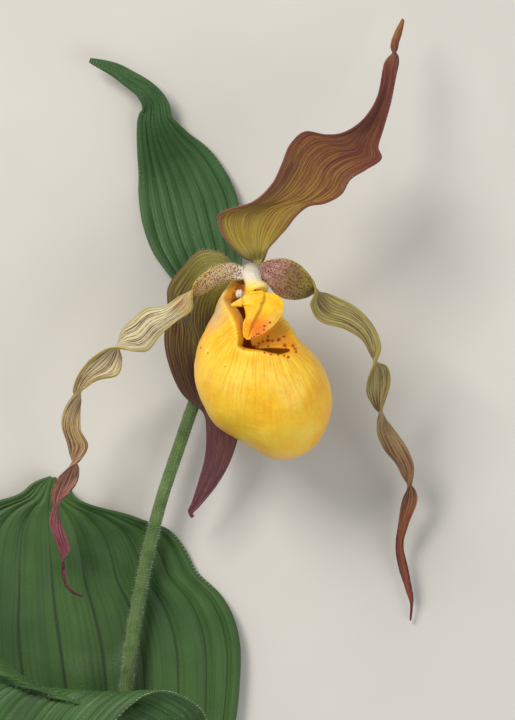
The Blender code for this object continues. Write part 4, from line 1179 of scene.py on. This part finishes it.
def build_synsepalum(hair):
    """The two lower sepals, grown into one behind the pouch."""
    skin = striped_finish(
        "thin_sepal_skin_lower",
        ground=[(0.0, "#8E8A3A"), (0.25, "#77701E"), (0.5, "#6C5624"), (0.75, "#6A4036"), (1.0, "#7A4A3A")],
        stripe=[(0.0, "#43350F"), (0.3, "#47201C"), (1.0, "#521C36")],
        amount=[(0.0, "#A0A0A0"), (0.3, "#FFFFFF"), (1.0, "#FFFFFF")],
        lines=17,
        dashes={"many": 60, "long": 7, "start": 0.46, "end": 0.56},
        margin={"code": "#6E2E34", "width": 0.05, "amount": 0.7, "end": 1.2},
    )
    lift = with_ribs(ripple(height=0.5, waves=2.0, phase=2.0), 17, height=-0.08, waver=0.3)
    frames = fine_blade(
        "synsepalum_blade", SYNSEPALUM, along=150, across=78, thickness=PETAL_THICKNESS, made_of=skin,
        lift=lift,
    )
    roots = margin_roots(frames, count=700, seed=22)
    hairs("synsepalum_hairs", roots, length=0.4, thickness=0.05, made_of=hair)


def build_left_petal(hair):
    """The twisted left petal: cream at its root, with red dots, and maroon at its tip."""
    skin = striped_finish(
        "thin_petal_skin_left",
        ground=[
            (0.0, "#E4DCD0"), (0.04, "#CDB694"), (0.15, "#CBB06A"), (0.22, "#CDC39C"), (0.42, "#C6B890"),
            (0.6, "#B09660"), (0.82, "#96505A"), (0.93, "#7A2C40"), (1.0, "#4A1A24"),
        ],
        stripe=PETAL_STRIPE,
        amount=PETAL_STRIPE_AMOUNT,
        lines=9,
        dashes={"many": 24, "long": 9, "start": 0.54, "end": 0.62},
        margin={"code": "#A8980F", "width": 0.12, "amount": 0.7, "end": 0.6},
        dots={"code": "#661014", "scale": 2.3, "reach": 0.46, "start": 0.13, "end": 0.18},
    )
    lift = with_ribs(ripple(height=0.2, waves=9), 8, height=-0.05, waver=0.25)
    frames = fine_blade(
        "left_petal_blade", drawn_in(LEFT_PETAL, 4, PETAL_TIP_DRAWN), along=300, across=36,
        thickness=PETAL_THICKNESS, made_of=skin, lift=lift,
    )
    roots = margin_roots(frames, count=500, seed=31, start=0.03, end=0.25)
    roots += margin_roots(frames, count=500, seed=32, start=0.2, end=0.98)
    hairs("left_petal_hairs", roots, length=0.5, thickness=0.04, made_of=hair)


def build_right_petal(hair):
    """The twisted right petal, which is browner at its root than the left one."""
    skin = striped_finish(
        "thin_petal_skin_right",
        ground=[
            (0.0, "#BC9A8E"), (0.04, "#9C6E62"), (0.09, "#7C6636"), (0.13, "#837828"), (0.17, "#A39A58"),
            (0.45, "#A49860"), (0.6, "#94784A"), (0.8, "#90502C"), (1.0, "#8A3836"),
        ],
        stripe=PETAL_STRIPE,
        amount=PETAL_STRIPE_AMOUNT,
        lines=10,
        dashes={"many": 26, "long": 9, "start": 0.54, "end": 0.62},
        margin={"code": "#A8982E", "width": 0.10, "amount": 0.6, "end": 0.6},
        dots={"code": "#501014", "scale": 2.3, "reach": 0.46, "start": 0.12, "end": 0.15},
    )
    lift = with_ribs(ripple(height=0.2, waves=8, phase=1.0), 9, height=-0.05, waver=0.25)
    frames = fine_blade(
        "right_petal_blade", drawn_in(RIGHT_PETAL, 2, PETAL_TIP_DRAWN), along=300, across=36,
        thickness=PETAL_THICKNESS, made_of=skin, lift=lift,
    )
    roots = margin_roots(frames, count=300, seed=33, start=0.04, end=0.15)
    roots += margin_roots(frames, count=600, seed=34, start=0.15, end=0.98)
    hairs("right_petal_hairs", roots, length=0.5, thickness=0.04, made_of=hair)


def build_anthers():
    """The two pollen masses beside the column."""
    pollen = pollen_finish()
    for name, place in ANTHER_PLACES.items():
        fine_anther(name + "_mass", place, pollen)


def build_staminode():
    """The shield at the column's tip."""
    lift = with_ribs(shield_keel, 1, height=0.0, waver=0.12)  # uneven, with no ribs
    fine_blade(
        "staminode_shield", STAMINODE, along=120, across=120, thickness=PETAL_THICKNESS,
        made_of=staminode_finish(), lift=lift,
    )


def build_stem(hair, skin):
    """The ribbed stem with its long hairs."""
    rows = [(*place, STEM_RADIUS) for place in STEM_PATH]
    frames = fine_tube(
        "stem_skin", rows, along=420, sides=28, made_of=skin, ribs=7, rib_height=0.02,
    )
    roots = round_roots(frames, count=6000, seed=41)
    hairs("stem_hairs", roots, length=0.8, thickness=0.06, made_of=hair)


def build_ovary(hair, skin):
    """The ovary, whose six ribs run into the flower's base."""
    frames = fine_tube(
        "ovary_skin", OVARY_ROWS, along=60, sides=60, made_of=skin, ribs=6, rib_height=0.06,
    )
    roots = round_roots(frames, count=700, seed=42)
    hairs("ovary_hairs", roots, length=0.8, thickness=0.08, made_of=hair)


def build_stage():
    """A pale board under the flower."""
    bm = bmesh.new()
    bmesh.ops.create_grid(bm, x_segments=1, y_segments=1, size=FLOOR_SIZE)
    bmesh.ops.translate(bm, vec=(0.0, 0.0, -FLOOR_GAP), verts=bm.verts)
    mesh = bpy.data.meshes.new("floor")
    bm.to_mesh(mesh)
    bm.free()
    mesh.materials.append(floor_finish())
    floor = bpy.data.objects.new("floor", mesh)
    bpy.context.scene.collection.objects.link(floor)


def add_light(name, place, aim, size, power, colour):
    """A square soft light, in metres and watts."""
    light = bpy.data.lights.new(name, "AREA")
    light.size = size
    light.energy = power
    light.color = hex_colour(colour)[:3]
    obj = bpy.data.objects.new(name, light)
    obj.location = place
    obj.rotation_euler = (Vector(aim) - Vector(place)).to_track_quat("-Z", "Y").to_euler()
    bpy.context.scene.collection.objects.link(obj)


def build_lights():
    """A soft light from the upper left, a fainter one against it, and a pale room."""
    add_light("key", (-0.55, 0.65, 0.85), (0.02, 0.0, 0.02), size=0.5, power=12.0, colour="#FFF8EE")
    add_light("fill", (0.8, -0.4, 0.9), (0.0, 0.0, 0.02), size=0.9, power=5.0, colour="#FFFFFF")
    world = bpy.data.worlds.new("studio")
    world.use_nodes = True
    world.node_tree.nodes["Background"].inputs["Color"].default_value = hex_colour("#F0EFEC")
    world.node_tree.nodes["Background"].inputs["Strength"].default_value = 0.45
    bpy.context.scene.world = world
    bpy.context.scene.view_settings.view_transform = "Standard"


def build_camera():
    """Looks straight down with a long lens, so that a pixel is PIXEL wide at the flower's height."""
    camera = bpy.data.cameras.new("camera")
    obj = bpy.data.objects.new("camera", camera)
    centre_x = (PHOTO_SIZE[0] / 2 - HEART_PIXEL[0]) * PIXEL + HEART_PLACE[0] * MM
    centre_y = (HEART_PIXEL[1] - PHOTO_SIZE[1] / 2) * PIXEL + HEART_PLACE[1] * MM
    obj.location = (centre_x, centre_y, CAMERA_HEIGHT)
    camera.sensor_fit = "VERTICAL"
    camera.sensor_height = SENSOR
    camera.lens = SENSOR * (CAMERA_HEIGHT - SEEN_PLANE) / (PHOTO_SIZE[1] * PIXEL)
    camera.clip_end = 20.0
    bpy.context.scene.collection.objects.link(obj)
    bpy.context.scene.camera = obj


hair = hair_finish()
build_lower_leaf(hair)
build_upper_leaf(hair)
build_bract(hair)
build_dorsal_sepal(hair)
build_synsepalum(hair)
build_left_petal(hair)
build_right_petal(hair)
fine_tube("column_tissue", COLUMN_ROWS, along=60, sides=60, made_of=column_finish())
build_anthers()
build_staminode()
fine_lip(lip_finish())
stem_skin = stem_finish()
build_stem(hair, stem_skin)
build_ovary(hair, stem_skin)
build_stage()
build_lights()
build_camera()
